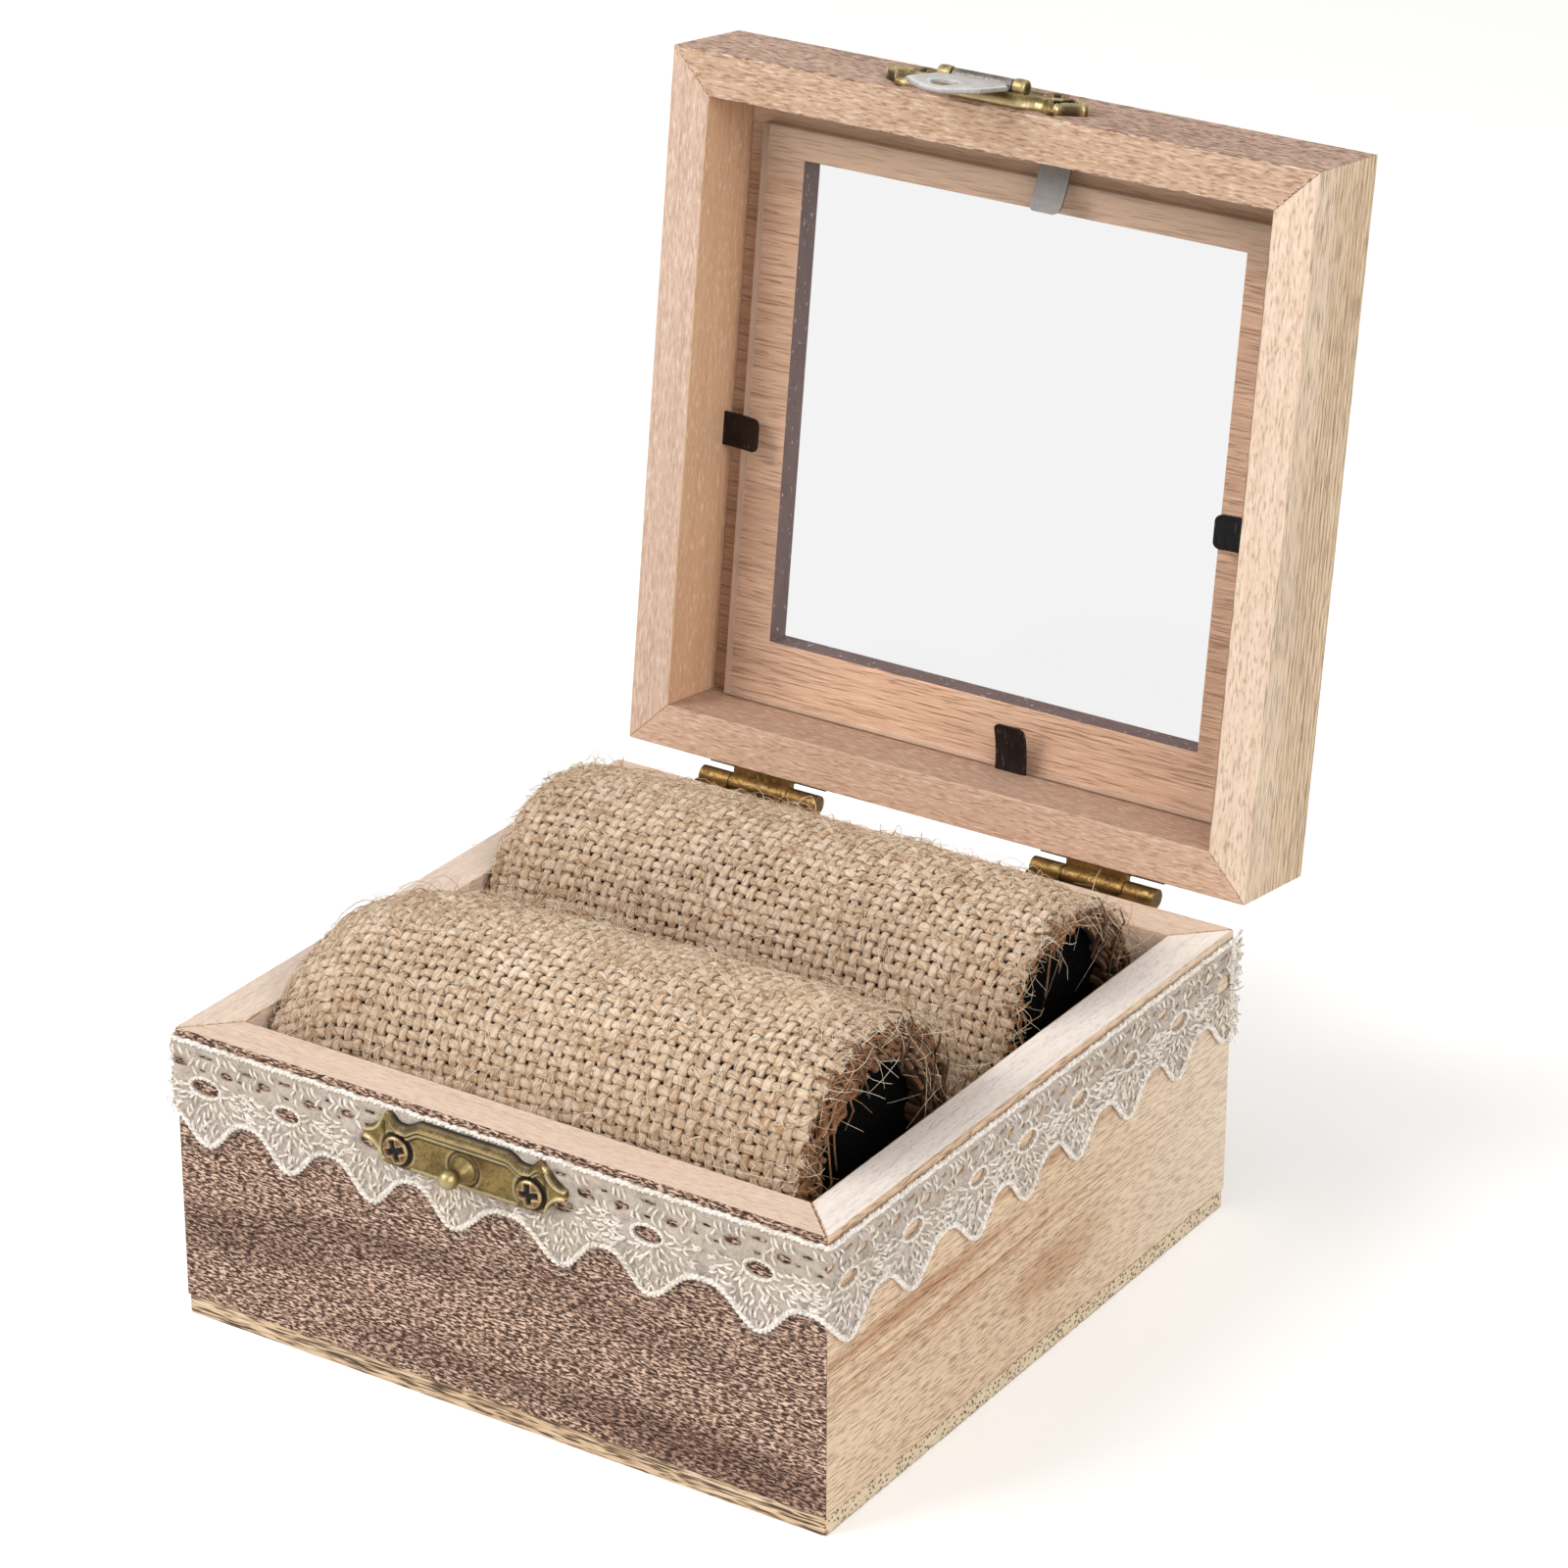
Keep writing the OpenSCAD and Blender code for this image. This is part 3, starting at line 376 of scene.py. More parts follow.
railLeftWood = woodFinish("lid left rail wood", lid=True, grain="y", light="#dabc9f", mid="#cfa985",
                          dark="#b38552", pale="#eed6c0", pore="#9a6f4c", poreShow=0.4, poreStart=0.64,
                          poreSize=(0.4, 2.4), streakSize=(0.05, 0.9), streakShow=0.6, ringShow=0.25,
                          flecks=0.12, patches=0.2)
railRightWood = woodFinish("lid right rail wood", lid=True, grain="y", light="#f2dabf", mid="#dfbf9c",
                           dark="#7f5a35", pale="#fdf1de", pore="#5d3f28", poreShow=0.5, poreStart=0.6,
                           poreSize=(0.25, 3.8), streakSize=(0.05, 2.6), ringHeart=(20, 50),
                           ringSpacing=1.0, ringShow=0.95, wander=1.6, ringZone=(46.5, 49.0),
                           zoneTint="#dcb98c", zoneShow=0.35)
# painted light: the panel's ramp towards pale brightens the strip by the front rail, where the rail casts
# shade
panelWood = woodFinish("window panel wood", lid=True, flat=True, light="#c8a388", mid="#b08a6e",
                       dark="#85604a", pale="#e6c8ae", pore="#6e4b38", poreShow=0.4, poreStart=0.61,
                       poreSize=(0.2, 3.4), streakSize=(0.07, 1.9), streakShow=0.75, ringHeart=(-60, 20),
                       ringSpacing=3.4, ringShow=0.3, flecks=0.2, patches=0.3,
                       fade=("across", -31, -40, 0.75))


def planedFinishes(lid, face, looks):
    # smooth planed faces, by side: light, mid and line colours, and how much the pores show
    made = {}
    for side, (light, mid, line, speck) in looks.items():
        made[side] = woodFinish(
            ("lid " if lid else "") + side + face, lid=lid,
            grain="x" if side in ("front", "rear") else "y", flat=True, light=light, mid=mid, dark=line,
            pale="#fbeee2", pore=line, poreShow=speck, poreStart=0.6, poreSize=(0.6, 3.2),
            streakSize=(0.07, 1.3), streakShow=0.6, ringShow=0.22, ringSpacing=2.6, ringHeart=(-90, 10),
            patches=0.08, flecks=0.3, roughness=0.58, poreDepth=0.05)
    return made


rims = planedFinishes(False, " rim", {
    # the right rim's near-white colours are painted light, brighter than the other rims, for a rim that the
    # front roll shades from the key lamp
    "front": ("#ecd3bf", "#e2c4ad", "#b58f72", 0.22), "right": ("#fff6ee", "#faeadf", "#b58f72", 0.22),
    "rear": ("#e8cfba", "#dcbfa6", "#b58f72", 0.22), "left": ("#f0dccb", "#e6cbb6", "#b58f72", 0.22)})
lidRims = planedFinishes(True, " rim", {
    "front": ("#cfb096", "#b8926f", "#85583c", 0.55), "right": ("#eed6c0", "#dfc0a4", "#94694c", 0.45),
    "rear": ("#d6b49c", "#c69f83", "#9a6f52", 0.4), "left": ("#d8bba7", "#c9aa94", "#a0745c", 0.3)})
lidWalls = planedFinishes(True, " wall", {
    "front": ("#c9a486", "#b58c6b", "#85593a", 0.22), "right": ("#c9a486", "#b58c6b", "#85593a", 0.22),
    "rear": ("#bf9d86", "#ad8870", "#85593f", 0.3), "left": ("#d6ae8c", "#c89c76", "#a5764f", 0.04)})


def endGrainFinish():
    # sawn pore ends: dark dots in pale wood
    f = Finish("bottom board end grain")
    spot = f.place()
    dots = f.cells(spot, (1.45, 1.45, 1.8))
    tone = f.noise(spot, (0.2, 0.2, 1.0), 2)
    dark = f.grey(dots, [(0.26, 1), (0.42, 0)])
    colour = f.mix(tone, "#f0e0c6", "#d9bf98")
    colour = f.mix(dark * 0.85, colour, "#33240f")
    return f.surface(colour, 0.7 + 0.1 * tone, dots, 0.15)


def cutEdgeFinish():
    # the window's saw-cut edge: dark, with pale splinters
    f = Finish("window cut edge")
    spot = f.place(True)
    grime = f.noise(spot, (0.25, 0.25, 0.8), 3)
    chip = f.grey(f.noise(spot, (1.1, 1.1, 2.2), 2), [(0.66, 0), (0.72, 1)])
    colour = f.mix(grime, "#4a3838", "#755c56")
    colour = f.mix(chip * 0.8, colour, "#e6d8cc")
    return f.surface(colour, 0.55 + 0.2 * grime, grime + chip, 0.15)


endGrain = endGrainFinish()
windowCut = cutEdgeFinish()


def roundedPrism(name, corners, low, high, radius, finishes, lid=False, picks=None):
    # picks gives a finish for the low end, the high end, then each side in turn
    n = len(corners)
    points = [(*c, low) for c in corners] + [(*c, high) for c in corners]
    faces = [list(range(n))[::-1], list(range(n, 2 * n))]
    faces += [[k, (k + 1) % n, n + (k + 1) % n, n + k] for k in range(n)]
    return softEdges(makeMesh(name, points, faces, finishes, lid, False, picks), radius)


boards = {"width": 100.0, "depth": 100.0, "baseHigh": 42.2, "floorThick": 2.8, "wall": 6.5, "rail": 6.2,
          "railHigh": 12.0, "railGap": 0.04, "panelThick": 4.2, "border": 15.25, "edge": 0.22,
          "floorEdge": 0.3, "panelEdge": 0.15, "leastFold": 0.5}


def mitred(side, thick):
    # corners of a mitred board, seen from above, going round the box: front, right, rear, left
    w, d = boards["width"] / 2, boards["depth"] / 2
    outer = [(-w, -d), (w, -d), (w, d), (-w, d)]
    inner = [(-w + thick, -d + thick), (w - thick, -d + thick), (w - thick, d - thick),
             (-w + thick, d - thick)]
    k = ["front", "right", "rear", "left"].index(side)
    n = (k + 1) % 4
    return [outer[k], outer[n], inner[n], inner[k]]


def makeBoards():
    b = boards
    walls = {"front": frontWood, "right": sideWood, "rear": rearWood, "left": sideWood}
    for side, finish in walls.items():
        made = roundedPrism(side + "Board", mitred(side, b["wall"]), b["floorThick"], b["baseHigh"],
                            b["edge"], [finish, rims[side], rims[side]], picks=[0, 1, 0, 0, 2, 0])
        seat(made, "base", "dark_board" if side == "front" else "light_board", "base_" + side + "_wall")
    low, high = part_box("bottom_panel")
    low, high = low / mm, high / mm
    corners = [(low.x, low.y), (high.x, low.y), (high.x, high.y), (low.x, high.y)]
    made = roundedPrism("bottomBoard", corners, low.z, high.z, b["floorEdge"], [floorWood, endGrain],
                        picks=[0, 0, 0, 1, 0, 1])
    seat(made, "base", "plywood_panel", "bottom_panel")
    rails = {"front": railFrontWood, "right": railRightWood, "rear": railRearWood, "left": railLeftWood}
    top = b["baseHigh"] + b["railHigh"]
    for side, finish in rails.items():
        made = roundedPrism(side + "Rail", mitred(side, b["rail"]), b["baseHigh"] + b["railGap"], top,
                            b["edge"], [finish, lidRims[side], lidWalls[side]], True, [1, 0, 0, 0, 2, 0])
        seat(made, "lid", "lid_rail", "lid_" + side + "_rail")


def makePanel():
    # a board with a square window, its cut edges in a finish of their own
    b = boards
    w, hole = b["width"] / 2, b["width"] / 2 - b["border"]
    low = b["baseHigh"] + b["railHigh"]
    high = low + b["panelThick"]
    outer = [(-w, -w), (w, -w), (w, w), (-w, w)]
    inner = [(-hole, -hole), (hole, -hole), (hole, hole), (-hole, hole)]
    points = [(*c, z) for z in (low, high) for ring in (outer, inner) for c in ring]
    faces, picks = [], []
    for k in range(4):
        n = (k + 1) % 4
        faces += [[k, n, 4 + n, 4 + k][::-1], [8 + k, 8 + n, 12 + n, 12 + k], [k, n, 8 + n, 8 + k],
                  [4 + k, 4 + n, 12 + n, 12 + k][::-1]]
        picks += [0, 0, 2 + k, 1]
    finishes = [panelWood, windowCut, railFrontWood, railRightWood, railRearWood, railLeftWood]
    made = makeMesh("windowPanel", points, faces, finishes, True, False, picks)
    softEdges(made, b["panelEdge"], b["leastFold"])
    seat(made, "lid", "window_wood", "window_panel")


makeBoards()
makePanel()
print("boards, rails and window panel made")


paneLook = {"tint": "#f3f3f3", "edge": "#b8a08c", "edgeShade": "#8f7766", "chamfer": 0.08, "index": 1.2,
            "rough": 0.02, "edgeClear": 0.35, "flat": 0.98}


def makePane():
    look = paneLook
    glass = Finish("clear pane")
    shader = glass.node("BsdfPrincipled", None, {"Base Color": look["tint"], "Roughness": look["rough"],
                                                 "IOR": look["index"], "Transmission Weight": 1.0})
    clear = glass.node("BsdfTransparent")
    ray = glass.wire(glass.node("LightPath"), "Is Shadow Ray")
    both = glass.node("MixShader", None, {0: ray, 1: glass.wire(shader), 2: glass.wire(clear)})
    glass.node("OutputMaterial", None, {"Surface": glass.wire(both)})
    rim = Finish("pane edge")
    shine = rim.noise(rim.place(True), (0.4, 0.4, 3), 2)
    rim.surface(rim.mix(shine, look["edge"], look["edgeShade"]), 0.25 + 0.2 * shine,
                **{"Transmission Weight": look["edgeClear"]})
    spots = np.array([shutLid @ v.co / mm for v in frame["nodes"]["window_pane"].data.vertices])
    low, high = spots.min(0), spots.max(0)
    made = roundedPrism("clearPane",
                        [(low[0], low[1]), (high[0], low[1]), (high[0], high[1]), (low[0], high[1])],
                        low[2], high[2], look["chamfer"], [glass.material, rim.material], True)
    for face in made.data.polygons:
        face.material_index = 0 if abs((shutLid.to_3x3() @ face.normal).z) > look["flat"] else 1
    seat(made, "lid", "clear_pane", "window_pane")


makePane()
print("pane made")


rollLook = {"pitch": 1.65, "yarnWide": 0.71, "yarnTall": 0.42, "wave": 0.31, "sway": (0.12, 0.13),
            "fatness": 0.12, "depth": 0.8, "lowest": 9.0, "hairs": 7100, "longHairs": 110, "endHairs": 300,
            "hairReach": 43.2, "hairSpare": 0.65, "paneLow": 52.2, "droopRun": 15.0, "recess": 4.2,
            "layers": (1.65, 6.9, 0.9), "strays": 9, "swell": 0.5, "draw": 0.7, "foot": 2.8,
            "foamInset": 1.75, "underInset": 1.32}
rolls = {"front": {"rise": (12.9, 15.3), "seed": 11, "droop": 6.0, "turnIn": ([-1, 0, 1], [6.6, 6.0, 4.6])},
         "rear": {"rise": (11.2, 11.8), "seed": 23, "droop": 1.2,
                  "turnIn": ([-1, -0.3, 0.2, 1], [1.9, 2.3, 3.4, 5.8])}}
for side, roll in rolls.items():
    low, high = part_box(side + "_roll_cover")
    roll.update(x0=low.x / mm, x1=high.x / mm, mid=(low.y + high.y) / 2 / mm, width=(high.y - low.y) / mm)


def rollSkin(roll, x, d, inset):
    # the point and outward direction on a roll's skin: x along it, d round it from the crest
    x, d = np.broadcast_arrays(np.asarray(x, float), np.asarray(d, float))
    look = rollLook
    share = np.clip((x - roll["x0"]) / (roll["x1"] - roll["x0"]), 0, 1)
    fromMid = 2 * share - 1
    half = roll["width"] / 2 - look["draw"] * fromMid ** 6 - inset
    rise = roll["rise"][0] + (roll["rise"][1] - roll["rise"][0]) * share
    top = boards["baseHigh"] + rise + look["swell"] * (1 - fromMid ** 2) - look["draw"] * fromMid ** 8 - inset
    top = top - roll["droop"] * np.clip(1 - (x - roll["x0"]) / look["droopRun"], 0, 1) ** 2
    top = top + 0.25 * np.sin(x * 0.21 + roll["seed"]) + 0.2 * np.sin(x * 0.37 + d * 0.2 + 2 * roll["seed"])
    quarter = half * np.pi / 2
    angle = np.clip(d, -quarter, quarter) / half
    base, foot = top - half, look["foot"]
    straight = boards["baseHigh"] + min(roll["rise"]) - roll["width"] / 2 - foot
    drop = np.maximum(np.abs(d) - quarter, 0) * np.clip((base - foot - 0.4) / straight, 0, 1)
    y = roll["mid"] + half * np.sin(angle)
    z = base + half * np.cos(angle) - drop
    out = np.stack([np.zeros_like(x), np.sin(angle), np.cos(angle)], -1)
    return np.stack([x, y, z], -1), out


def burlapFinish(name, light="#f3dabc", mid="#d8b38b", pale="#fff3e2", shade="#7f5a3e", gap="#3d2412"):
    f = Finish(name)
    along, around, which = f.mark("strand")
    dip = f.mark("dip")[0]
    crown = f.maths("SINE", around * (2 * math.pi))
    twist = f.maths("SINE", (along * 0.55 + around) * (2 * math.pi) + which * 40.0)
    fibres = f.noise(f.join(along * 0.7, (around + along * 0.12) * 20.0, which * 60.0), (1, 1, 1), 3, 0.65)
    tone = f.noise(f.join(along * 0.12, which * 97.0, 0.0), (1, 1, 1), 2)
    grime = f.noise(f.place(), (0.05, 0.05, 0.05), 2)
    colour = f.mix(f.grey(tone, [(0.3, 0), (0.7, 1)]), light, mid)
    colour = f.mix(f.grey(fibres, [(0.46, 0), (0.62, 1)]) * 0.8, colour, pale)
    colour = f.mix(f.grey(fibres, [(0.3, 1), (0.44, 0)]) * 0.75, colour, shade)
    # painted shade: the twist grooves darken towards shade, and each yarn's flanks and the stretch where it
    # dives under a crossing yarn darken towards gap
    colour = f.mix(f.grey(twist * 0.5 + 0.5, [(0.0, 0.4), (0.3, 0)]), colour, shade)
    colour = f.mix(f.grey(crown, [(0.0, 0.9), (0.55, 0)]), colour, gap)
    colour = f.mix(f.grey(dip, [(0.08, 0.9), (0.52, 0)]), colour, gap)
    colour = f.mix(f.grey(grime, [(0.4, 0), (0.7, 1)]) * 0.22, colour, "#8a633f")
    low = (f.split(f.place())[2] - 44) / 11.0  # painted shade: the roll's sides are browner than the crest, for the light that falls from above
    colour = f.mix(f.grey(low, [(0, 0.3), (1, 0)]), colour, "#7a4f2c")
    rough = 0.8 + 0.15 * fibres
    return f.surface(colour, rough, fibres * 0.8 + twist * 0.3, 0.2,
                     **{"Specular IOR Level": 0.2, "Sheen Weight": 0.25, "Sheen Roughness": 0.5,
                        "Sheen Tint": "#fff0dc"})


def underClothShadeFinish():
    f = Finish("burlap under layer")
    spot = f.place()
    weave = f.noise(spot, (0.8, 0.8, 0.8), 3)
    # painted shade: the under layer is near black-brown, for the shade in the gaps of the weave
    colour = f.mix(weave, "#21140a", "#4f3722")
    return f.surface(colour, 0.9 + 0.05 * weave, weave, 0.2)


def foamFinish():
    f = Finish("black foam")
    pits = f.cells(f.place(), (1.6, 1.6, 1.6))
    fine = f.noise(f.place(), (1.2, 1.2, 1.2), 2)
    colour = f.mix(pits, "#020202", "#0c0a0a")
    return f.surface(colour, 0.9 + 0.1 * fine, pits, 0.3, **{"Specular IOR Level": 0.08})


def hairFinish():
    f = Finish("jute hairs")
    tone = f.maths("FRACT", f.mark("strand")[2] * 7.31)
    colour = f.mix(f.grey(tone, [(0.35, 0), (0.85, 1)]), "#f3e2c8", "#b08354")
    return f.surface(colour, 0.5 + 0.15 * tone, **{"Specular IOR Level": 0.4})


burlap = burlapFinish("burlap yarn")
# the cut ends' deep rust browns are partly a glue tint in the cloth and partly painted shade on the end face,
# which turns away from the light
burlapEnd = burlapFinish("burlap cut ends", "#a0613a", "#6e3c20", "#d39c68", "#37190b", "#231007")
underClothShade = underClothShadeFinish()
blackFoam = foamFinish()
jute = hairFinish()
squashOn = {"front": 0.86, "rear": 0.92}


def asSoft(made, side, slot, *nodes):
    seat(made, "base", slot, *nodes)
    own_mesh(made)


def yarnSet(side, name, atX, atD, fat, wave, tip=0.0):
    # yarns that ride up and down on the skin, drawn in a little at the roll's two ends
    roll, look = rolls[side], rollLook
    skin, out = rollSkin(roll, atX, atD, look["depth"])
    ends = (np.clip((atX - (roll["x1"] - 3.0)) / 3.0, 0, 1) ** 2 * 0.9
            + np.clip((roll["x0"] + 2.0 - atX) / 2.0, 0, 1) ** 2 * 0.5)
    skin = skin + out * (wave - ends)[..., None]
    skin[..., 0] += tip
    points, faces, strand = strands(skin, out, look["yarnWide"] * fat, look["yarnTall"] * fat, 6)
    dip = np.repeat(wave / look["wave"] / 2 + 0.5, 6, 1).ravel()
    return makeMesh(side + name, points, faces, [burlap], marks={"strand": strand, "dip": dip})


def weaveRoll(side):
    roll, look = rolls[side], rollLook
    rng = np.random.default_rng(roll["seed"])
    pitch, steps, x0, x1 = look["pitch"], 3, roll["x0"], roll["x1"]
    half = roll["width"] / 2
    reach = half * np.pi / 2 + (boards["baseHigh"] + roll["rise"][0] - half - look["lowest"])
    rows, hoops = np.arange(int(2 * reach / pitch)), np.arange(int((x1 - x0) / pitch))
    xs = x0 + np.arange(len(hoops) * steps + 1) / steps * pitch
    rowD = (rows - (len(rows) - 1) / 2) * pitch
    sway = np.stack([smoothNoise(rng, len(xs), 24) for _ in rows]) * look["sway"][0]
    fat = 1 + look["fatness"] * np.stack([smoothNoise(rng, len(xs), 13) for _ in rows])
    atX = np.broadcast_to(xs, (len(rows), len(xs)))
    wave = look["wave"] * np.cos(np.pi * (atX - x0) / pitch - np.pi / 2 + np.pi * rows[:, None])
    tip = rng.uniform(-0.6, 0.8, len(rows))[:, None] * np.clip((atX - x1 + 2.2) / 2.2, 0, 1)
    lengthways = yarnSet(side, "RollLengthYarns", atX, rowD[:, None] + sway, fat, wave, tip)
    ds = -reach + np.arange(len(rows) * steps + 1) / steps * pitch
    sway = np.stack([smoothNoise(rng, len(ds), 24) for _ in hoops]) * look["sway"][1]
    fat = 1 + look["fatness"] * np.stack([smoothNoise(rng, len(ds), 13) for _ in hoops])
    atD = np.broadcast_to(ds, (len(hoops), len(ds)))
    wave = -look["wave"] * np.cos(np.pi * (atD - rowD[0]) / pitch + np.pi * hoops[:, None])
    crossways = yarnSet(side, "RollHoopYarns", (x0 + (hoops + 0.5) * pitch)[:, None] + sway, atD, fat, wave)
    return lengthways, crossways, turnedEnd(side, reach)


def turnIn(side, d):
    # how far the cloth's rolled end reaches in from the skin
    return np.interp(d / (rolls[side]["width"] / 2 * np.pi / 2), *rolls[side]["turnIn"])


def turnedEnd(side, reach):
    # layers of cut cloth at the right end: short yarn ends, with broken hoop yarns between them
    roll, look = rolls[side], rollLook
    rng = np.random.default_rng(roll["seed"] + 9)
    x1 = roll["x1"]
    step = np.linspace(0, 1, 6)[None]
    parts = []

    def column(low, high, n):
        return rng.uniform(low, high, (n, 1))

    for layer, inset in enumerate(np.arange(*look["layers"])):
        n = int(2 * reach / 1.3)
        d = np.linspace(-reach, reach, n) + rng.uniform(-0.4, 0.4, n)
        d = d[(inset < turnIn(side, d) + rng.normal(0, 0.35, n)) & (np.abs(d) < reach - 1.7 * inset)][:, None]
        n = len(d)
        length = look["recess"] + column(-1.0, 0.5, n) - 0.1 * inset
        skin, out = rollSkin(roll, x1 - look["recess"] - 0.4 + length * step,
                             d + column(-0.9, 0.9, n) * step ** 2, inset)
        skin = skin - out * (column(0.0, 1.3, n) * step ** 2)[..., None]
        parts.append((skin, out, column(0.5, 0.78, n) * (1 - 0.3 * step ** 2)))
        n = int(2 * reach / 3.4)
        d = np.linspace(-reach, reach, n)
        d = d[(inset < turnIn(side, d) + 0.2) & (np.abs(d) < reach - 1.7 * inset)][:, None]
        n = len(d)
        d = d + column(-1.5, 1.5, n)
        atD = d + (step - 0.5) * column(3.0, 6.5, n)
        atX = x1 - column(0.35, 1.8, n) + 0.35 * np.sin(atD * 1.9 + layer)
        skin, out = rollSkin(roll, atX, atD, inset + 0.25 * np.sin(atD * 2.7 + 2 * layer))
        parts.append((skin, out, column(0.36, 0.56, n) * (0.75 + 0.25 * np.sin(np.pi * step))))
    n = look["strays"]  # single yarns that lie over the end and hang into the opening
    d = column(-0.8, 0.9, n) * roll["width"] / 2 * 1.4
    fall = column(3.5, 9.5, n)
    atX = x1 - 1.6 + np.array([[0, 1.4, 2.1, 2.2, 1.9, 1.5]]) + rng.normal(0, 0.25, (n, 6))
    atD = d + rng.normal(0, 1.4, (n, 1)) * step * 2 + 0.9 * np.sin(step * 6 + column(0, 6, n)) * step
    sink = np.array([[0, -0.2, 0.5, 0, 0, 0]]) + fall * np.array([[0, 0, 0.1, 0.4, 0.7, 1.0]])
    parts.append((*rollSkin(roll, atX, atD, sink), np.full((n, 6), 0.2) * (1 - 0.3 * step)))
    skin, out, fat = (np.concatenate([part[k] for part in parts]) for k in range(3))
    points, faces, strand = strands(skin, out, fat, fat * 0.85, 6)
    return makeMesh(side + "RollTurnedEnd", points, faces, [burlapEnd],
                    marks={"strand": strand, "dip": np.ones(len(points))})


def underLayer(side):
    # the inner turn of cloth, which shows between the yarns; its near black-brown is painted shade in the
    # gaps
    roll, look = rolls[side], rollLook
    top, half = boards["baseHigh"] + min(roll["rise"]), roll["width"] / 2
    reach = (half - look["underInset"]) * np.pi / 2 + (top - half - look["foot"] - 0.6)
    x = np.linspace(roll["x0"] + 0.8, roll["x1"] - 1.2, 50)
    atX, atD = np.meshgrid(x, np.linspace(-reach, reach, 80), indexing="ij")
    ripple = 0.06 * np.sin(atX * 3.8) * np.sin(atD * 3.8)
    skins = []
    for inset in (look["underInset"], look["underInset"] + 0.3):
        skin, out = rollSkin(roll, atX, atD, inset)
        skins.append((skin + out * ripple[..., None]).reshape(-1, 3))
    count = len(skins[0])
    rows, columns = atX.shape
    faces = gridFaces(rows, columns).tolist() + gridFaces(rows, columns, count)[:, ::-1].tolist()
    rim = ([(0, k) for k in range(columns)] + [(k, columns - 1) for k in range(1, rows)]
           + [(rows - 1, k) for k in range(columns - 2, -1, -1)] + [(k, 0) for k in range(rows - 2, 0, -1)])
    rim = [r * columns + c for r, c in rim]
    faces += [[a, b, count + b, count + a] for a, b in zip(rim, rim[1:] + rim[:1])]
    made = softEdges(makeMesh(side + "RollCloth", np.concatenate(skins), faces, [underClothShade]))
    asSoft(made, side, "burlap", side + "_roll_cover")
    return made, 2 * reach, float(x[-1] - x[0])


def foamRoll(side):
    roll, look = rolls[side], rollLook
    inset = look["foamInset"]
    xs = np.concatenate([[0, 0.25, 0.8], np.linspace(1.8, 78.2, 40), [79.2, 79.75, 80]])
    xs = roll["x0"] + 1.6 + xs / 80 * (roll["x1"] - roll["x0"] - 1.6 - look["recess"])
    shy = np.zeros(len(xs))  # the ends are rounded over
    shy[:3], shy[-3:] = (1.2, 0.5, 0.15), (0.15, 0.5, 1.2)
    turns = 90
    rings = []
    for x, s in zip(xs, shy):
        half = roll["width"] / 2 - inset - s
        straight = boards["baseHigh"] + min(roll["rise"]) - roll["width"] / 2 - look["foot"] - inset - 1.5
        reach = half * np.pi / 2 + straight
        d = np.linspace(-reach, reach, turns)
        skin, out = rollSkin(roll, np.full(turns, x), d, inset + s)
        rings.append(skin + out * (0.1 * np.sin(x * 1.7 + d * 2.3))[:, None])
    faces = gridFaces(len(xs), turns, 0, True).tolist()
    last = (len(xs) - 1) * turns
    faces += [list(range(turns)), list(range(last, last + turns))[::-1]]
    made = softEdges(makeMesh(side + "FoamRoll", np.concatenate(rings), faces, [blackFoam]))
    asSoft(made, side, "black_foam", side + "_foam_roll")


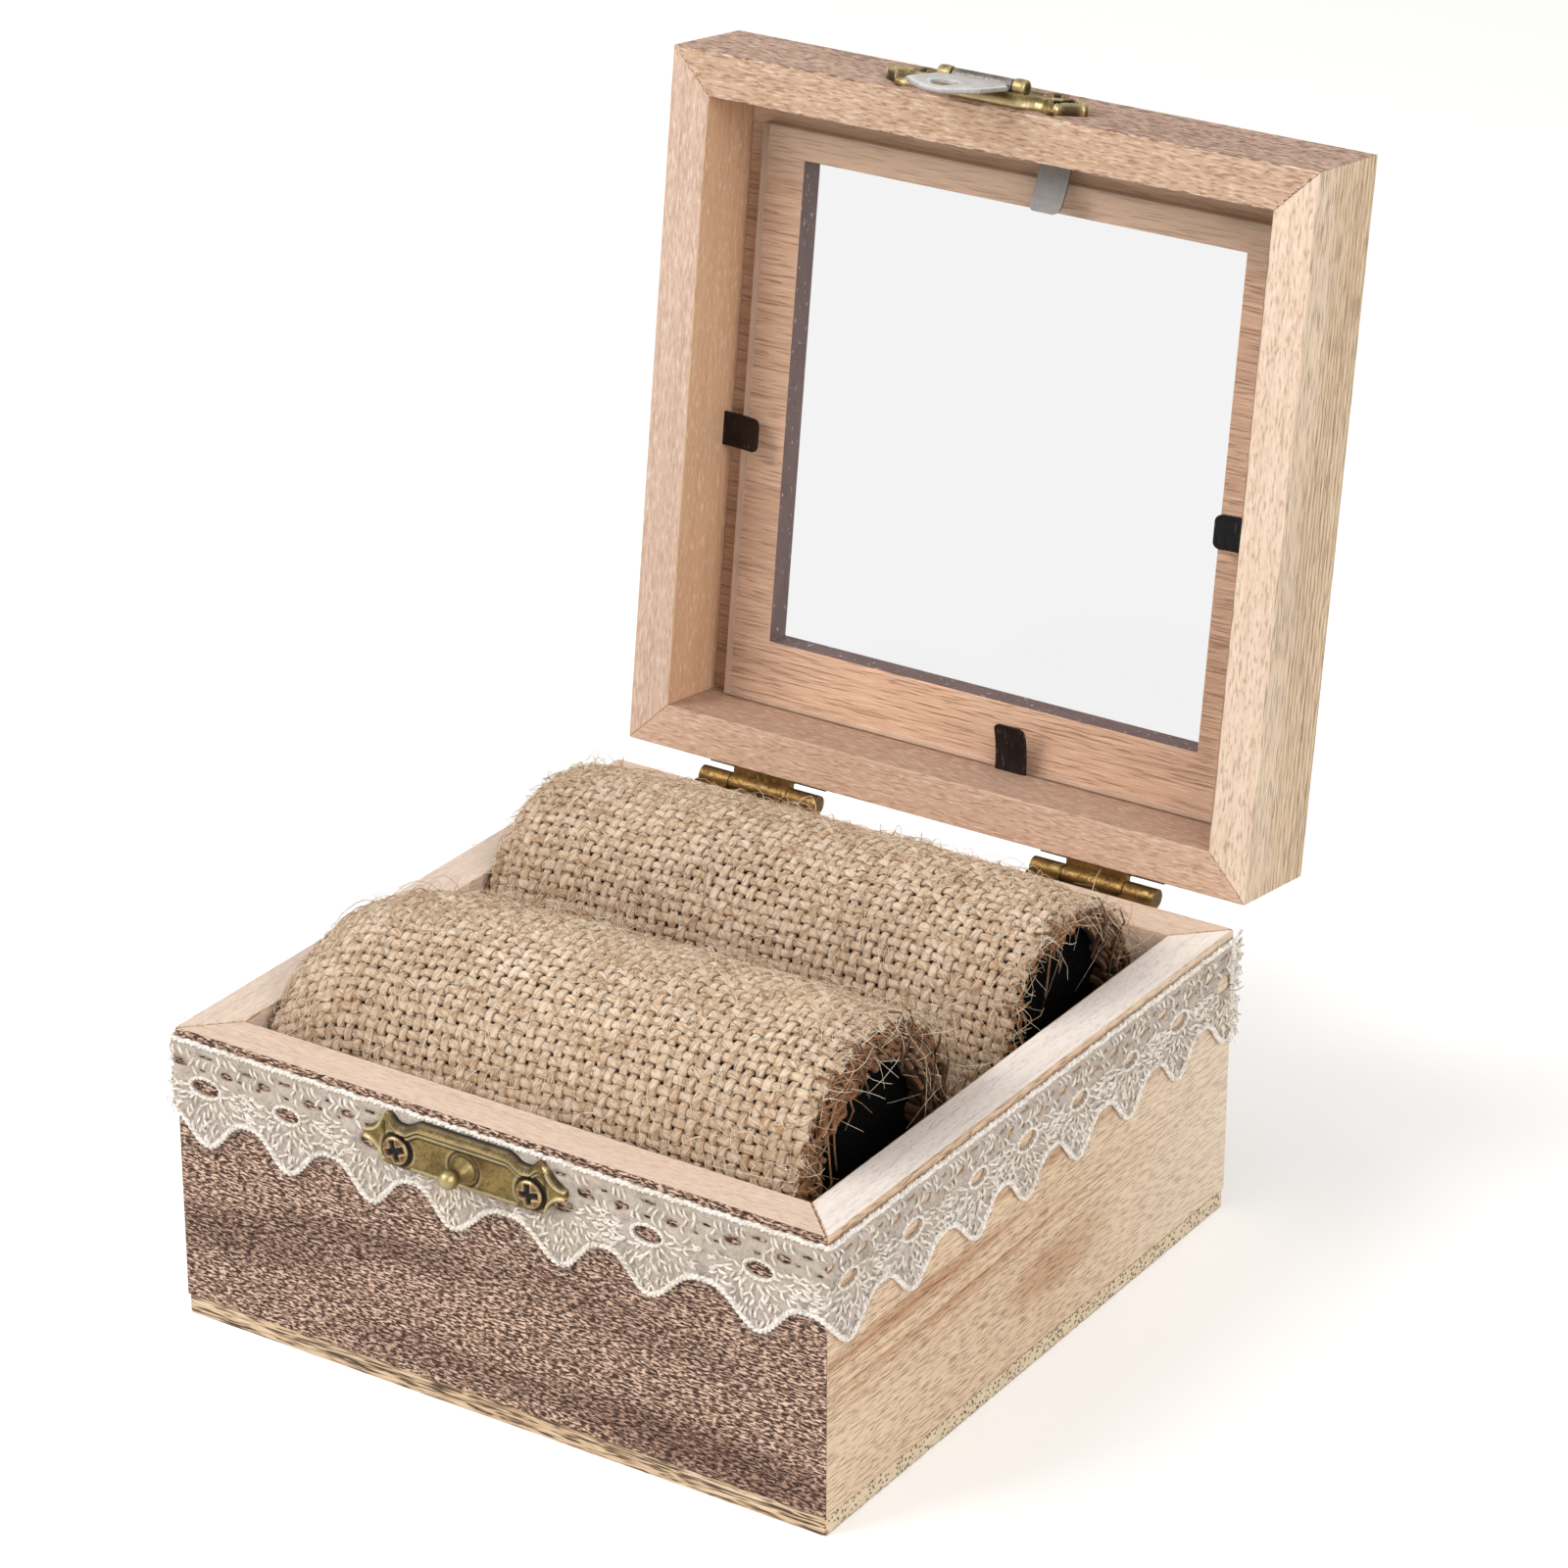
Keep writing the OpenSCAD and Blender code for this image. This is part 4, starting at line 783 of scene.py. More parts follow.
def hairs(side):
    # loose fibres that lie on the weave or stand off it, and a denser brush of them round the right end
    roll, look = rolls[side], rollLook
    rng = np.random.default_rng(roll["seed"] + 5)
    n, x0, x1 = look["hairs"], roll["x0"], roll["x1"]
    edge = int(n * 0.06)
    x = rng.uniform(x0, x1, n)
    x[:edge] = x1 - rng.exponential(1.2, edge)
    x[edge:2 * edge] = x0 + rng.exponential(1.0, edge)
    d = rng.uniform(-46, 46, n)
    length = rng.gamma(2.4, 0.95, n).clip(0.7, 7)
    length[-look["longHairs"]:] = rng.uniform(7, 15, look["longHairs"])
    way = rng.uniform(0, 2 * np.pi, n)
    bend = rng.normal(0, 1.1, n)
    rise = (rng.gamma(1.3, 0.28, n) * (0.5 + 0.25 * length)).clip(0.05, 2.4)
    step = np.linspace(0, 1, 5)
    heading = way[:, None] + bend[:, None] * step
    stepX, stepD = np.cos(heading) * length[:, None] / 4, np.sin(heading) * length[:, None] / 4
    atX = x[:, None] + np.cumsum(stepX, 1) - stepX[:, :1]
    atD = d[:, None] + np.cumsum(stepD, 1) - stepD[:, :1]
    skin, out = rollSkin(roll, atX, atD, look["depth"] - 0.55)
    arch = rise[:, None] * np.sin(step * np.pi * rng.uniform(0.6, 1.05, n)[:, None])
    arch = arch + rng.uniform(-0.15, 0.2, n)[:, None]
    over = np.clip(np.abs(atX - (x0 + x1) / 2) - (x1 - x0) / 2, 0, 9)
    skin = skin + out * (arch - 0.5 * over)[..., None]
    taper = (1 - 0.5 * step)[None]
    thick = rng.uniform(0.035, 0.07, n)[:, None] * taper
    m = look["endHairs"]
    d = rng.uniform(-40, 40, m)
    root, face = rollSkin(roll, x1 - rng.uniform(0.0, 1.6, m), d, rng.uniform(0, 1, m) * turnIn(side, d))
    aim = rng.normal(0, 1, (m, 3)) + np.array([0.7, 0, 0]) - face * 0.25
    aim /= np.linalg.norm(aim, axis=1, keepdims=True)
    curl = np.cross(aim, rng.normal(0, 1, (m, 3)))
    reach = rng.gamma(3, 0.75, m).clip(0.7, 6)[:, None, None]
    far = step[None, :, None]
    ends = root[:, None] + reach * (aim[:, None] * far + 1.1 * curl[:, None] * far ** 2)
    ends[..., 0] = np.minimum(ends[..., 0], x1 + 2.0)
    paths = np.concatenate([skin, ends])
    x, z = paths[..., 0].copy(), paths[..., 2].copy()
    limit = look["hairReach"]
    paths[..., 0] = np.where(np.abs(x) > limit, np.sign(x) * (2 * limit - np.abs(x)), x)
    cap = look["foot"] + (look["paneLow"] - look["foot"]) / squashOn[side] - look["hairSpare"]
    paths[..., 2] = np.where(z > cap, cap + 0.5 * (1 - np.exp(-(z - cap).clip(0) / 0.5)), z)
    points, faces, strand = strands(paths, np.concatenate([out, np.repeat(face[:, None], 5, 1)]),
                                    np.concatenate([thick, rng.uniform(0.03, 0.05, m)[:, None] * taper]),
                                    np.concatenate([thick, np.full((m, 5), 0.045)]), 3)
    strand[:, 2] = np.repeat(rng.uniform(0, 1, n + m), 15)
    made = makeMesh(side + "RollHairs", points, faces, [jute], marks={"strand": strand})
    asSoft(made, side, "burlap")
    return made


for side in rolls:
    foamRoll(side)
    cloth, wrap, run = underLayer(side)
    woven = weaveRoll(side)
    for piece in woven:
        asSoft(piece, side, "burlap")
    run * mm
    wrap * mm
    hairs(side)
    print(side, "roll made")


def softStep(value):
    value = np.clip(value, 0, 1)
    return value * value * (3 - 2 * value)


def cutSheet(field, low, high, step):
    # squares of a flat grid where the field is above nought, with the rim pulled onto its zero line
    xs = np.linspace(low[0], high[0], int(round((high[0] - low[0]) / step)) + 1)
    ys = np.linspace(low[1], high[1], int(round((high[1] - low[1]) / step)) + 1)
    atX, atY = np.meshgrid(xs, ys, indexing="ij")
    inside = field(atX, atY) > -0.3 * step
    keep = inside[:-1, :-1] & inside[1:, :-1] & inside[:-1, 1:] & inside[1:, 1:]
    while True:  # no two squares may touch at a corner alone
        k = np.pad(keep, 1)
        a, b, c, d = k[:-1, :-1], k[1:, :-1], k[:-1, 1:], k[1:, 1:]
        falling, rising = a & d & ~b & ~c, b & c & ~a & ~d
        if not (falling.any() or rising.any()):
            break
        for row, column in np.argwhere(falling):
            keep[row, column] = False
        for row, column in np.argwhere(rising):
            keep[row, column - 1] = False
    around = a.astype(int) + b + c + d
    used = around > 0
    number = (np.cumsum(used.ravel()) - 1).reshape(used.shape)
    i, j = np.nonzero(keep)
    cells = np.stack([number[i, j], number[i + 1, j], number[i + 1, j + 1], number[i, j + 1]], -1)
    walls = []
    for di, dj, p, q in ((0, -1, 0, 1), (1, 0, 1, 2), (0, 1, 2, 3), (-1, 0, 3, 0)):
        walls.append(cells[~k[i + 1 + di, j + 1 + dj]][:, [p, q]])
    spots = np.stack([atX[used], atY[used]], -1)
    rim = around[used] < 4
    first, e = spots[rim], step * 0.1
    for _ in range(3):
        x, y = spots[rim].T
        slope = np.stack([field(x + e, y) - field(x - e, y), field(x, y + e) - field(x, y - e)], -1) / (2 * e)
        moved = spots[rim] - slope * (field(x, y) / np.maximum((slope ** 2).sum(1), 0.1))[:, None]
        away = moved - first
        far = np.linalg.norm(away, axis=1, keepdims=True)
        spots[rim] = first + away * np.minimum(1, 0.8 * step / np.maximum(far, 1e-9))
    return spots, cells, np.concatenate(walls)


def reliefPiece(name, sheet, place, lift, low, finishes, lid=False, marks=None):
    # a cut sheet given a worked front at height lift and a plain back at height low
    spots, cells, walls = sheet
    n = len(spots)
    points = np.concatenate([place(*spots.T, lift), place(*spots.T, np.full(n, low))])
    sides = np.stack([walls[:, 1], walls[:, 0], walls[:, 0] + n, walls[:, 1] + n], -1)
    faces = np.concatenate([cells, cells[:, ::-1] + n, sides])
    marks = {key: np.concatenate([value, value]) for key, value in (marks or {}).items()}
    return softEdges(makeMesh(name, points, faces, finishes, lid, marks=marks))


# s runs along the ribbon from the front's left corner, t down from its top edge, h out from the board
laceLook = {"tips": [-103.0, -89.5, -76.0, -62.5, -49.0, -35.5, -22.0, -8.5, 5.3, 18.4, 31.7, 44.4, 61.1,
                     74.3, 90.5, 104.2, 118.7, 133.8, 145.8, 158.7, 171.9, 184.7, 197.5, 211.0],
            "ends": (-99.4, 199.4), "top": 41.2, "valley": 10.2, "tip": 14.8, "point": 1.5, "step": 0.3,
            "cloth": 0.5, "fuzz": 3200, "frays": 90, "rows": (0.55, 1.7, 2.85, 4.05), "rowPitch": 1.02,
            "fanPitch": 0.8, "fanStep": 1.3, "fanMid": 5.9, "fanRings": 6,
            "tipHoles": [(0.0, 6.2, 2.0, 1.05), (-3.9, 3.4, 1.2, 0.6), (3.4, 3.7, 1.1, 0.62),
                         (-0.3, 1.9, 1.25, 0.27), (-0.4, 4.0, 0.5, 0.26)],
            "valleyHoles": [(0.1, 2.4, 0.8, 0.26), (-1.4, 3.9, 0.42, 0.24), (1.6, 4.3, 0.4, 0.24)],
            "plate": (31.3, 62.5, 0.5, 7.8), "area": 0.00355}
laceTips = np.array(laceLook["tips"])
laceValleys = (laceTips[1:] + laceTips[:-1]) / 2
laceShift = np.random.default_rng(5).uniform(-1, 1, (len(laceTips), 8, 3))


def laceSpot(s):
    # which scallop a place belongs to, how far it is from the tip and the valley, and the shape there
    k = np.searchsorted(laceValleys, s)
    fromTip = s - laceTips[k]
    v = np.clip(np.where(fromTip < 0, k - 1, k), 0, len(laceValleys) - 1)
    fromValley = s - laceValleys[v]
    share = fromTip / np.abs(laceValleys[v] - laceTips[k])
    swell = 0.5 * (1 + np.cos(np.pi * np.clip(share, -1, 1)))
    depth = laceLook["valley"] + (laceLook["tip"] - laceLook["valley"]) * swell ** laceLook["point"]
    return k, v, fromTip, fromValley, share, swell, depth


def laceRipple(s):
    return 0.1 * np.sin(s * 4.3) + 0.07 * np.sin(s * 1.31)


def laceField(s, t):
    look = laceLook
    k, v, fromTip, fromValley, share, swell, depth = laceSpot(s)
    slope = ((look["tip"] - look["valley"]) * look["point"] * swell ** (look["point"] - 1)
             * 0.5 * np.pi * np.sin(np.pi * share) / 6.6)
    field = np.minimum((depth - t) / np.sqrt(1 + slope ** 2), t - laceRipple(s))
    field = np.minimum(field, np.minimum(s - look["ends"][0], look["ends"][1] - s))
    for holes, scallop, away, first in (("tipHoles", k, fromTip, 0), ("valleyHoles", v, fromValley, 5)):
        for m, (a, b, ra, rb) in enumerate(look[holes]):
            shift = laceShift[scallop, m + first]
            size = 1 + 0.13 * shift[..., 2]
            u = (away - a - 0.25 * shift[..., 0]) / (ra * size)
            w = (t - b - 0.14 * shift[..., 1]) / (rb * size)
            field = np.minimum(field, (np.sqrt(u * u + w * w) - 1) * rb * 1.3)
    return field


def underPlate(s, t, spare):
    # above nought where the catch plate lies over the ribbon
    s0, s1, t0, t1 = laceLook["plate"]
    return np.minimum(np.minimum(s - s0, s1 - s), np.minimum(t - t0, t1 - t)) + spare


def lacePlace(s, t, h):
    # wraps the ribbon round the left, front and right faces
    half, corner = boards["width"] / 2, 0.5
    run = np.array(s, float)
    turn = np.zeros_like(run)
    for place in (0.0, 2 * half):
        d = run - place
        far = np.abs(d)
        run = place + np.sign(d) * np.where(far > corner, far - corner * np.exp(-(far - corner) / 2), 0)
        turn = turn + np.pi / 2 * np.clip((d + corner) / (2 * corner), 0, 1)
    x = -half + np.clip(run, 0, 2 * half)
    y = -half + np.maximum(-run, 0) + np.maximum(run - 2 * half, 0)
    return np.stack([x - np.cos(turn) * h, y - np.sin(turn) * h, laceLook["top"] - t + 0 * h], -1)


def laceStrands(s, t, h, across, tall, sides):
    up = lacePlace(s, t, 1.0) - lacePlace(s, t, 0.0)
    return strands(lacePlace(s, t, h), up, across, tall, sides)


def laceFinish(name, threads):
    f = Finish(name)
    spot = f.place()
    cloud = f.noise(spot, (0.12, 0.12, 0.12), 2)
    if threads:
        along, around, which = f.mark("strand")
        twist = f.maths("SINE", (along * 0.75 + around) * (2 * math.pi) + which * 40.0)
        fibre = f.noise(f.join(along * 2.2, around * 9.0, which * 60.0), (1, 1, 1), 2, 0.6)
        height, tone = twist * 0.5 + fibre * 0.6, f.maths("FRACT", which * 5.7)
    else:
        fibre, tone = f.noise(spot, (2.4, 2.4, 2.4), 3, 0.65, 0.4), f.noise(spot, (0.9, 0.9, 0.9), 2)
        twist, height = tone * 2 - 1, fibre
    colour = f.mix(tone, "#fff8f0", "#f3e8dc")
    colour = f.mix(f.grey(cloud, [(0.45, 0), (0.7, 1)]) * 0.35, colour, "#e3d5b4")
    colour = f.mix(f.grey(fibre, [(0.3, 1), (0.5, 0)]) * 0.6, colour, "#bba692")
    # on threads this is painted shade in the twist grooves; on the ground it is random tone
    colour = f.mix(f.grey(twist * 0.5 + 0.5, [(0.0, 1), (0.35, 0)]) * 0.35, colour, "#b9a593")
    # painted shade: the ground is darkened towards grey-brown for the shade under and between the raised
    # threads
    if not threads:
        colour = f.mix(0.38 + 0.42 * tone, colour, "#8c7764")
    return f.surface(colour, 0.8 + 0.15 * fibre, height, 0.12,
                     **{"Specular IOR Level": 0.2, "Sheen Weight": 0.2, "Sheen Roughness": 0.5})


def laceThreads():
    # short raised stitches: slanting rows in the band, rays in each fan
    look = laceLook
    rng = np.random.default_rng(8)
    lines, spread, hub = [], np.pi * 1.1, look["fanMid"]
    for r, row in enumerate(look["rows"]):
        for s in np.arange(look["ends"][0] + 0.6, look["ends"][1] - 0.6, look["rowPitch"]):
            s = s + (r % 2) * 0.5 + rng.normal(0, 0.14)
            lean = (0.34 if r % 2 else -0.34) + rng.normal(0, 0.16)
            lines.append((s - lean, row - 0.66, s + lean, row + 0.66 + rng.normal(0, 0.07), 0.12))
    for k in range(1, len(laceTips) - 1):
        for ring in range(look["fanRings"]):
            r0 = 1.35 + ring * look["fanStep"]
            count = int(r0 * spread / look["fanPitch"])
            for m in range(count):
                angle = (m + 0.5 + 0.5 * (ring % 2)) / count * spread - spread / 2 + rng.normal(0, 0.08)
                near = r0 - 0.2 + rng.normal(0, 0.14)
                far = near + look["fanStep"] * rng.uniform(0.75, 1.25)
                lean = (0.22 if m % 2 else -0.22) + rng.normal(0, 0.28)
                at, to = angle - lean / r0, angle + lean / (r0 + 1)
                lines.append((laceTips[k] + near * np.sin(at), hub + near * np.cos(at) * 0.93,
                              laceTips[k] + far * np.sin(to), hub + far * np.cos(to) * 0.93, 0.1))
    lines = np.array(lines)
    middle = (lines[:, :2] + lines[:, 2:4]) / 2
    free = laceField(*middle.T) > 0.28
    free &= (laceField(lines[:, 0], lines[:, 1]) > 0.12) & (laceField(lines[:, 2], lines[:, 3]) > 0.12)
    free &= underPlate(*middle.T, 0.5) < 0
    lines = lines[free & (np.abs(middle[:, 0] - laceTips[laceSpot(middle[:, 0])[0]]) < 7.4)]
    t = np.linspace(0, 1, 5)[None]
    bow = lines[:, 4:5] * np.sin(np.pi * t) * rng.choice([-1, 1], (len(lines), 1))
    s = lines[:, 0:1] * (1 - t) + lines[:, 2:3] * t + bow
    d = lines[:, 1:2] * (1 - t) + lines[:, 3:4] * t
    rise = look["cloth"] - 0.08 + (0.26 + rng.uniform(-0.06, 0.1, (len(lines), 1))) * np.sin(np.pi * t)
    fat = (0.2 + rng.uniform(-0.02, 0.04, (len(lines), 1))) * (0.72 + 0.28 * np.sin(np.pi * t))
    return laceStrands(s, d, rise, fat, fat, 5)


def laceCords():
    # two-ply cords along the scallops and the top edge, and round the big openings
    look = laceLook
    s0, s1 = look["ends"]
    parts = []

    def cord(s, t, h, radius, pitch):
        run = np.concatenate([[0], np.cumsum(np.hypot(np.diff(s), np.diff(t)))])
        fine = np.linspace(0, run[-1], int(run[-1] / (pitch / 6)))
        s, t, h = (np.interp(fine, run, np.broadcast_to(part, run.shape)) for part in (s, t, h))
        slopeS, slopeT = np.gradient(s), np.gradient(t)
        long = np.hypot(slopeS, slopeT)
        for start in (0, np.pi):
            turn = fine / pitch * 2 * np.pi + start
            off, lift = radius * 0.5 * np.cos(turn), radius * 0.5 * np.sin(turn)
            s2, t2 = s - slopeT / long * off, t + slopeS / long * off
            parts.append(laceStrands(s2[None], t2[None], (h + lift)[None], radius * 0.66, radius * 0.6, 6))

    s = np.linspace(s0, s1, 2400)
    cord(s, laceSpot(s)[-1] - 0.32, 0.52, 0.42, 1.5)
    cord(s, 0.2 + laceRipple(s), np.where(underPlate(s, 0.6, 0.6) > 0, 0.3, 0.46), 0.34, 1.3)
    a, b, ra, rb = look["tipHoles"][0]
    turn = np.linspace(0, 2 * np.pi, 40)
    for k in range(1, len(laceTips) - 1):
        shift = laceShift[k, 0]
        size = 1 + 0.13 * shift[2]
        ringS = laceTips[k] + a + 0.25 * shift[0] + (ra * size + 0.24) * np.cos(turn)
        ringT = b + 0.14 * shift[1] + (rb * size + 0.24) * np.sin(turn)
        if underPlate(ringS, ringT, 0.5).max() < 0 and ringS.min() > s0 and ringS.max() < s1:
            cord(ringS, ringT, 0.5, 0.26, 1.2)
    faces, points, strand, n = [], [], [], 0
    for p, f, m in parts:
        faces += [[c + n for c in face] for face in f]
        points.append(p)
        strand.append(m)
        n += len(p)
    return np.concatenate(points), faces, np.concatenate(strand)


def laceFuzz():
    # cotton fibres standing off the lace, and the frayed threads at its cut end
    look = laceLook
    rng = np.random.default_rng(17)
    n = look["fuzz"]
    s, t = rng.uniform(look["ends"][0], look["ends"][1], n), rng.uniform(0, 14.4, n)
    near = rng.random(n) < 0.4
    t[near] = (laceSpot(s[near])[-1] - rng.exponential(0.5, near.sum())).clip(0, 14.5)
    free = (laceField(s, t) > 0.05) & (underPlate(s, t, 0.3) < 0)
    s, t = s[free], t[free]
    n = len(s)
    step = np.linspace(0, 1, 5)[None]
    way, length = rng.uniform(0, 2 * np.pi, (n, 1)), rng.gamma(3, 0.45, (n, 1)).clip(0.5, 3.2)
    bend = rng.normal(0, 1.1, (n, 1))
    rise = rng.gamma(1.6, 0.25, (n, 1)).clip(0.05, 1.3)
    rise = rise * np.sin(step * np.pi * rng.uniform(0.55, 1.0, (n, 1)))
    thick = np.full((n, 5), 0.035) * (1 - 0.4 * step)
    fuzz = laceStrands(s[:, None] + np.cos(way + bend * step) * length * step,
                       t[:, None] + np.sin(way + bend * step) * length * step, 0.55 + rise, thick, thick, 3)
    m = look["frays"]
    t = rng.uniform(0.2, 13.0, (m, 1))
    length, bend = rng.uniform(0.9, 2.4, (m, 1)), rng.normal(0.1, 1.1, (m, 1))
    rise = rng.uniform(-0.1, 0.9, (m, 1)) * step ** 1.4 * length * 0.4
    thick = rng.uniform(0.12, 0.26, (m, 1)) * (1 - 0.45 * step)
    frayed = laceStrands(look["ends"][1] - 0.8 + length * step, t + 0.7 * bend * step ** 2 * length,
                         0.45 + rise, thick, thick, 5)
    return fuzz, frayed


def makeLace():
    look = laceLook
    ground, thread = laceFinish("cotton ground", False), laceFinish("cotton thread", True)
    s0, s1 = look["ends"]
    sheet = cutSheet(laceField, (s0, -0.3), (s1, look["tip"] + 0.3), look["step"])
    s, t = sheet[0].T
    lift = look["cloth"] + 0.05 * np.sin(s * 5.1 + t * 2.0) + 0.05 * np.sin(t * 5.3 - s * 1.7)
    lift = lift - 0.22 * (1 - softStep(laceField(s, t) / 0.5))
    ribbon = reliefPiece("laceRibbon", sheet, lacePlace, lift, 0.03, [ground])
    seat(ribbon, "base", "cotton_lace", "lace_ribbon")
    fuzz, frayed = laceFuzz()
    pieces = []
    for name, (points, faces, strand) in {"laceStitches": laceThreads(), "laceCords": laceCords(),
                                          "laceFrayedEnd": frayed, "laceFuzz": fuzz}.items():
        pieces.append(makeMesh(name, points, faces, [thread], marks={"strand": strand}))
        seat(pieces[-1], "base", "cotton_lace")


makeLace()
print("lace made")


def metalFinish(name, worn, body, shade, grime, marked=True, rough=0.34, metal=0.9, size=1.0, grimeShow=0.6):
    # worn is the rubbed colour of raised edges, grime sits in the hollows
    f = Finish(name)
    spot = f.place()
    cloud = f.noise(spot, (0.4 * size,) * 3, 3, 0.6)
    fine = f.noise(spot, (2.6 * size,) * 3, 3, 0.65)
    colour = f.mix(f.grey(cloud, [(0.36, 0), (0.64, 1)]), body, shade)
    dirt = f.grey(fine, [(0.5, 0), (0.7, 1)]) * grimeShow
    colour = f.mix(dirt, colour, grime)
    roughness = rough + 0.28 * dirt + 0.1 * fine
    shine = metal - 0.4 * dirt
    if marked:
        wear, pit = f.mark("wear")[:2]
        colour = f.mix(wear * (0.55 + 0.45 * fine), colour, worn)
        colour = f.mix(pit, colour, grime)
        roughness = roughness - wear * 0.08 + pit * 0.3
        shine = shine - pit * 0.75
    else:
        colour = f.mix(f.grey(cloud, [(0.58, 0), (0.72, 1)]) * 0.5, colour, worn)
    return f.surface(colour, f.maths("MAXIMUM", roughness, 0.12), fine, 0.06,
                     **{"Metallic": f.maths("MINIMUM", f.maths("MAXIMUM", shine, 0.0), 1.0)})


bronze = metalFinish("aged bronze", "#ead9a6", "#9c8452", "#74603a", "#1c140b")
screwMetal = metalFinish("coppery screw heads", "#dcbf92", "#96744c", "#684a2e", "#0e0805", size=1.6)
plainBronze = metalFinish("aged bronze knuckles", "#c9ad6c", "#8c6d3c", "#5d4526", "#1e150c", marked=False,
                          grimeShow=0.7)
steelWhite = metalFinish("worn nickel flap", "#ffffff", "#ebe6e1", "#d2cbc5", "#6c6058", rough=0.3, metal=0.7,
                         grimeShow=0.3)
dullNickel = metalFinish("dull nickel barrel", "#b5aea8", "#8b837c", "#6b645e", "#2c2723", rough=0.4,
                         grimeShow=0.6)
brightMetal = metalFinish("bright pin", "#f4f1ea", "#cfc7b8", "#a89d8a", "#4a4036", marked=False, rough=0.26,
                          grimeShow=0.3)

# catchOn is the thickness of ribbon under the catch plate
latchLook = {"x": -3.1, "half": 15.5, "high": 7.3, "catchMid": 37.05, "haspMid": 47.35, "catchOn": 0.6,
             "catchRelief": 1.3, "haspRelief": 1.85, "screwOut": 10.3, "screwOff": -1.1, "screwRadius": 2.0,
             "screwHigh": 0.9, "screwSink": 0.63, "catchScrewZ": 35.95, "haspScrewZ": 48.45, "step": 0.17,
             "studZ": 36.2, "pinZ": 46.4, "pinOut": 2.4, "flapTilt": 5.0, "flapStep": 0.2}


def rubbed(wear, pit):
    # the wear mark that the metals read: rubbed edges, then grimy hollows
    return {"wear": np.stack([np.clip(wear, 0, 1), np.clip(pit, 0, 1), 0 * pit], -1)}


def plateEdges(a):
    # the plate's upper and lower outline at a distance a from its middle
    far, top = np.abs(a), latchLook["high"] / 2
    dip = 1.15 * softStep((far - 6.6) / 2.6) * (1 - softStep((far - 9.9) / 1.7))
    chord = 3.5 - (far - 12.1) * 0.86 - 0.4 * np.sin(np.pi * np.clip((far - 12.1) / 3.4, 0, 1))
    upper = np.where(far > 12.1, np.minimum(top, chord), top - dip)
    lower = -np.where(far > 12.1, np.minimum(top, chord), top - 0.15)
    return upper, lower


def plateField(a, b):
    upper, lower = plateEdges(a)
    return np.minimum(np.minimum(upper - b, b - lower), latchLook["half"] - np.abs(a)) * 0.85


def plateShape(a, b, relief, boss):
    # height and wear over a plate: a double bead on top, a thin border below, a scooped leaf at each end
    far = np.abs(a)
    upper, lower = plateEdges(a)
    q, q2, field = upper - b, b - lower, 0.63
    bead = np.interp(q, [0, 0.12, 0.75, 1.1, 1.42, 1.72, 2.0, 2.25],
                     [0.25, 0.5, 0.82, 1.0, 0.74, 0.97, 0.68, field])
    wear = np.exp(-((q - 1.12) / 0.12) ** 2) + 0.95 * np.exp(-((q - 1.72) / 0.12) ** 2)
    pit = np.exp(-((q - 1.41) / 0.12) ** 2) + 0.95 * np.exp(-((q - 2.12) / 0.18) ** 2)
    if boss:
        pit = pit + np.exp(-(q / 0.16) ** 2) + 0.62 * np.exp(-((q - 0.5) / 0.32) ** 2)
    else:
        wear = wear + 0.9 * np.exp(-(q / 0.3) ** 2)
    leaf = softStep((far - 11.0) / 0.9)
    scoop = np.minimum(np.hypot(far - 15.3, b - 3.3), np.hypot(far - 15.3, b + 3.3))
    cup = field * (0.2 + 0.8 * softStep((scoop - 1.0) / 1.5)) + 0.3 * np.exp(-((scoop - 2.75) / 0.26) ** 2)
    bead, wear, pit = (bead * (1 - leaf) + cup * leaf,
                       wear * (1 - leaf) + leaf * (np.exp(-((scoop - 2.75) / 0.22) ** 2)),
                       pit * (1 - leaf) + leaf * 0.75 * np.exp(-((scoop - 2.25) / 0.25) ** 2))
    root = np.exp(-((far - 12.35) / 0.2) ** 2) * (np.abs(b) < 2.6)
    bead, pit = bead - 0.2 * root, pit + 0.8 * root
    line = np.exp(-((q2 - 0.28) / 0.16) ** 2) * (far < 8.2)
    bead, wear = bead + 0.16 * line, wear + 0.7 * line
    pit = pit + 0.55 * np.exp(-((q2 - 0.62) / 0.12) ** 2) * (far < 8.2)
    for side in (-1, 1):
        ring = np.hypot(a - side * latchLook["screwOut"], b - latchLook["screwOff"])
        gap = softStep((2.5 - ring) / 0.3)
        bead = bead * (1 - gap) + gap * np.where(ring < 1.9, 0.6, 0.42)
        wear, pit = wear * (1 - gap), pit * (1 - gap) + gap * 0.85
        edge = np.exp(-((ring - 2.65) / 0.16) ** 2) * (b > -2.8)
        wear = wear + 0.5 * edge * (1 - gap)
    if boss:
        ring = np.hypot(a, b + latchLook["catchMid"] - latchLook["studZ"])
        groove = np.exp(-((ring - 2.35) / 0.14) ** 2) * (q2 > 0.5)
        bead, pit = bead - 0.12 * groove, pit + groove
        wear = wear + 0.5 * np.exp(-((ring - 2.65) / 0.15) ** 2) * (q2 > 0.5)
    return bead * relief, rubbed(wear, pit)


def makePlate(side):
    look = latchLook
    catch = side == "catch"
    sheet = cutSheet(plateField, (-look["half"] - 0.1, -3.8), (look["half"] + 0.1, 3.8), look["step"])
    lift, marks = plateShape(*sheet[0].T, look[side + "Relief"], catch)
    out = look["catchOn"] if catch else 0.0
    mid, up = (look["catchMid"], 1) if catch else (look["haspMid"], -1)

    def place(a, b, h):
        return np.stack([look["x"] + a, -50 - out - h, mid + up * b], -1)

    made = reliefPiece(side + "Plate", sheet, place, lift, 0.0, [bronze], not catch, marks)
    seat(made, "base" if catch else "lid", "aged_brass", side + "_plate")


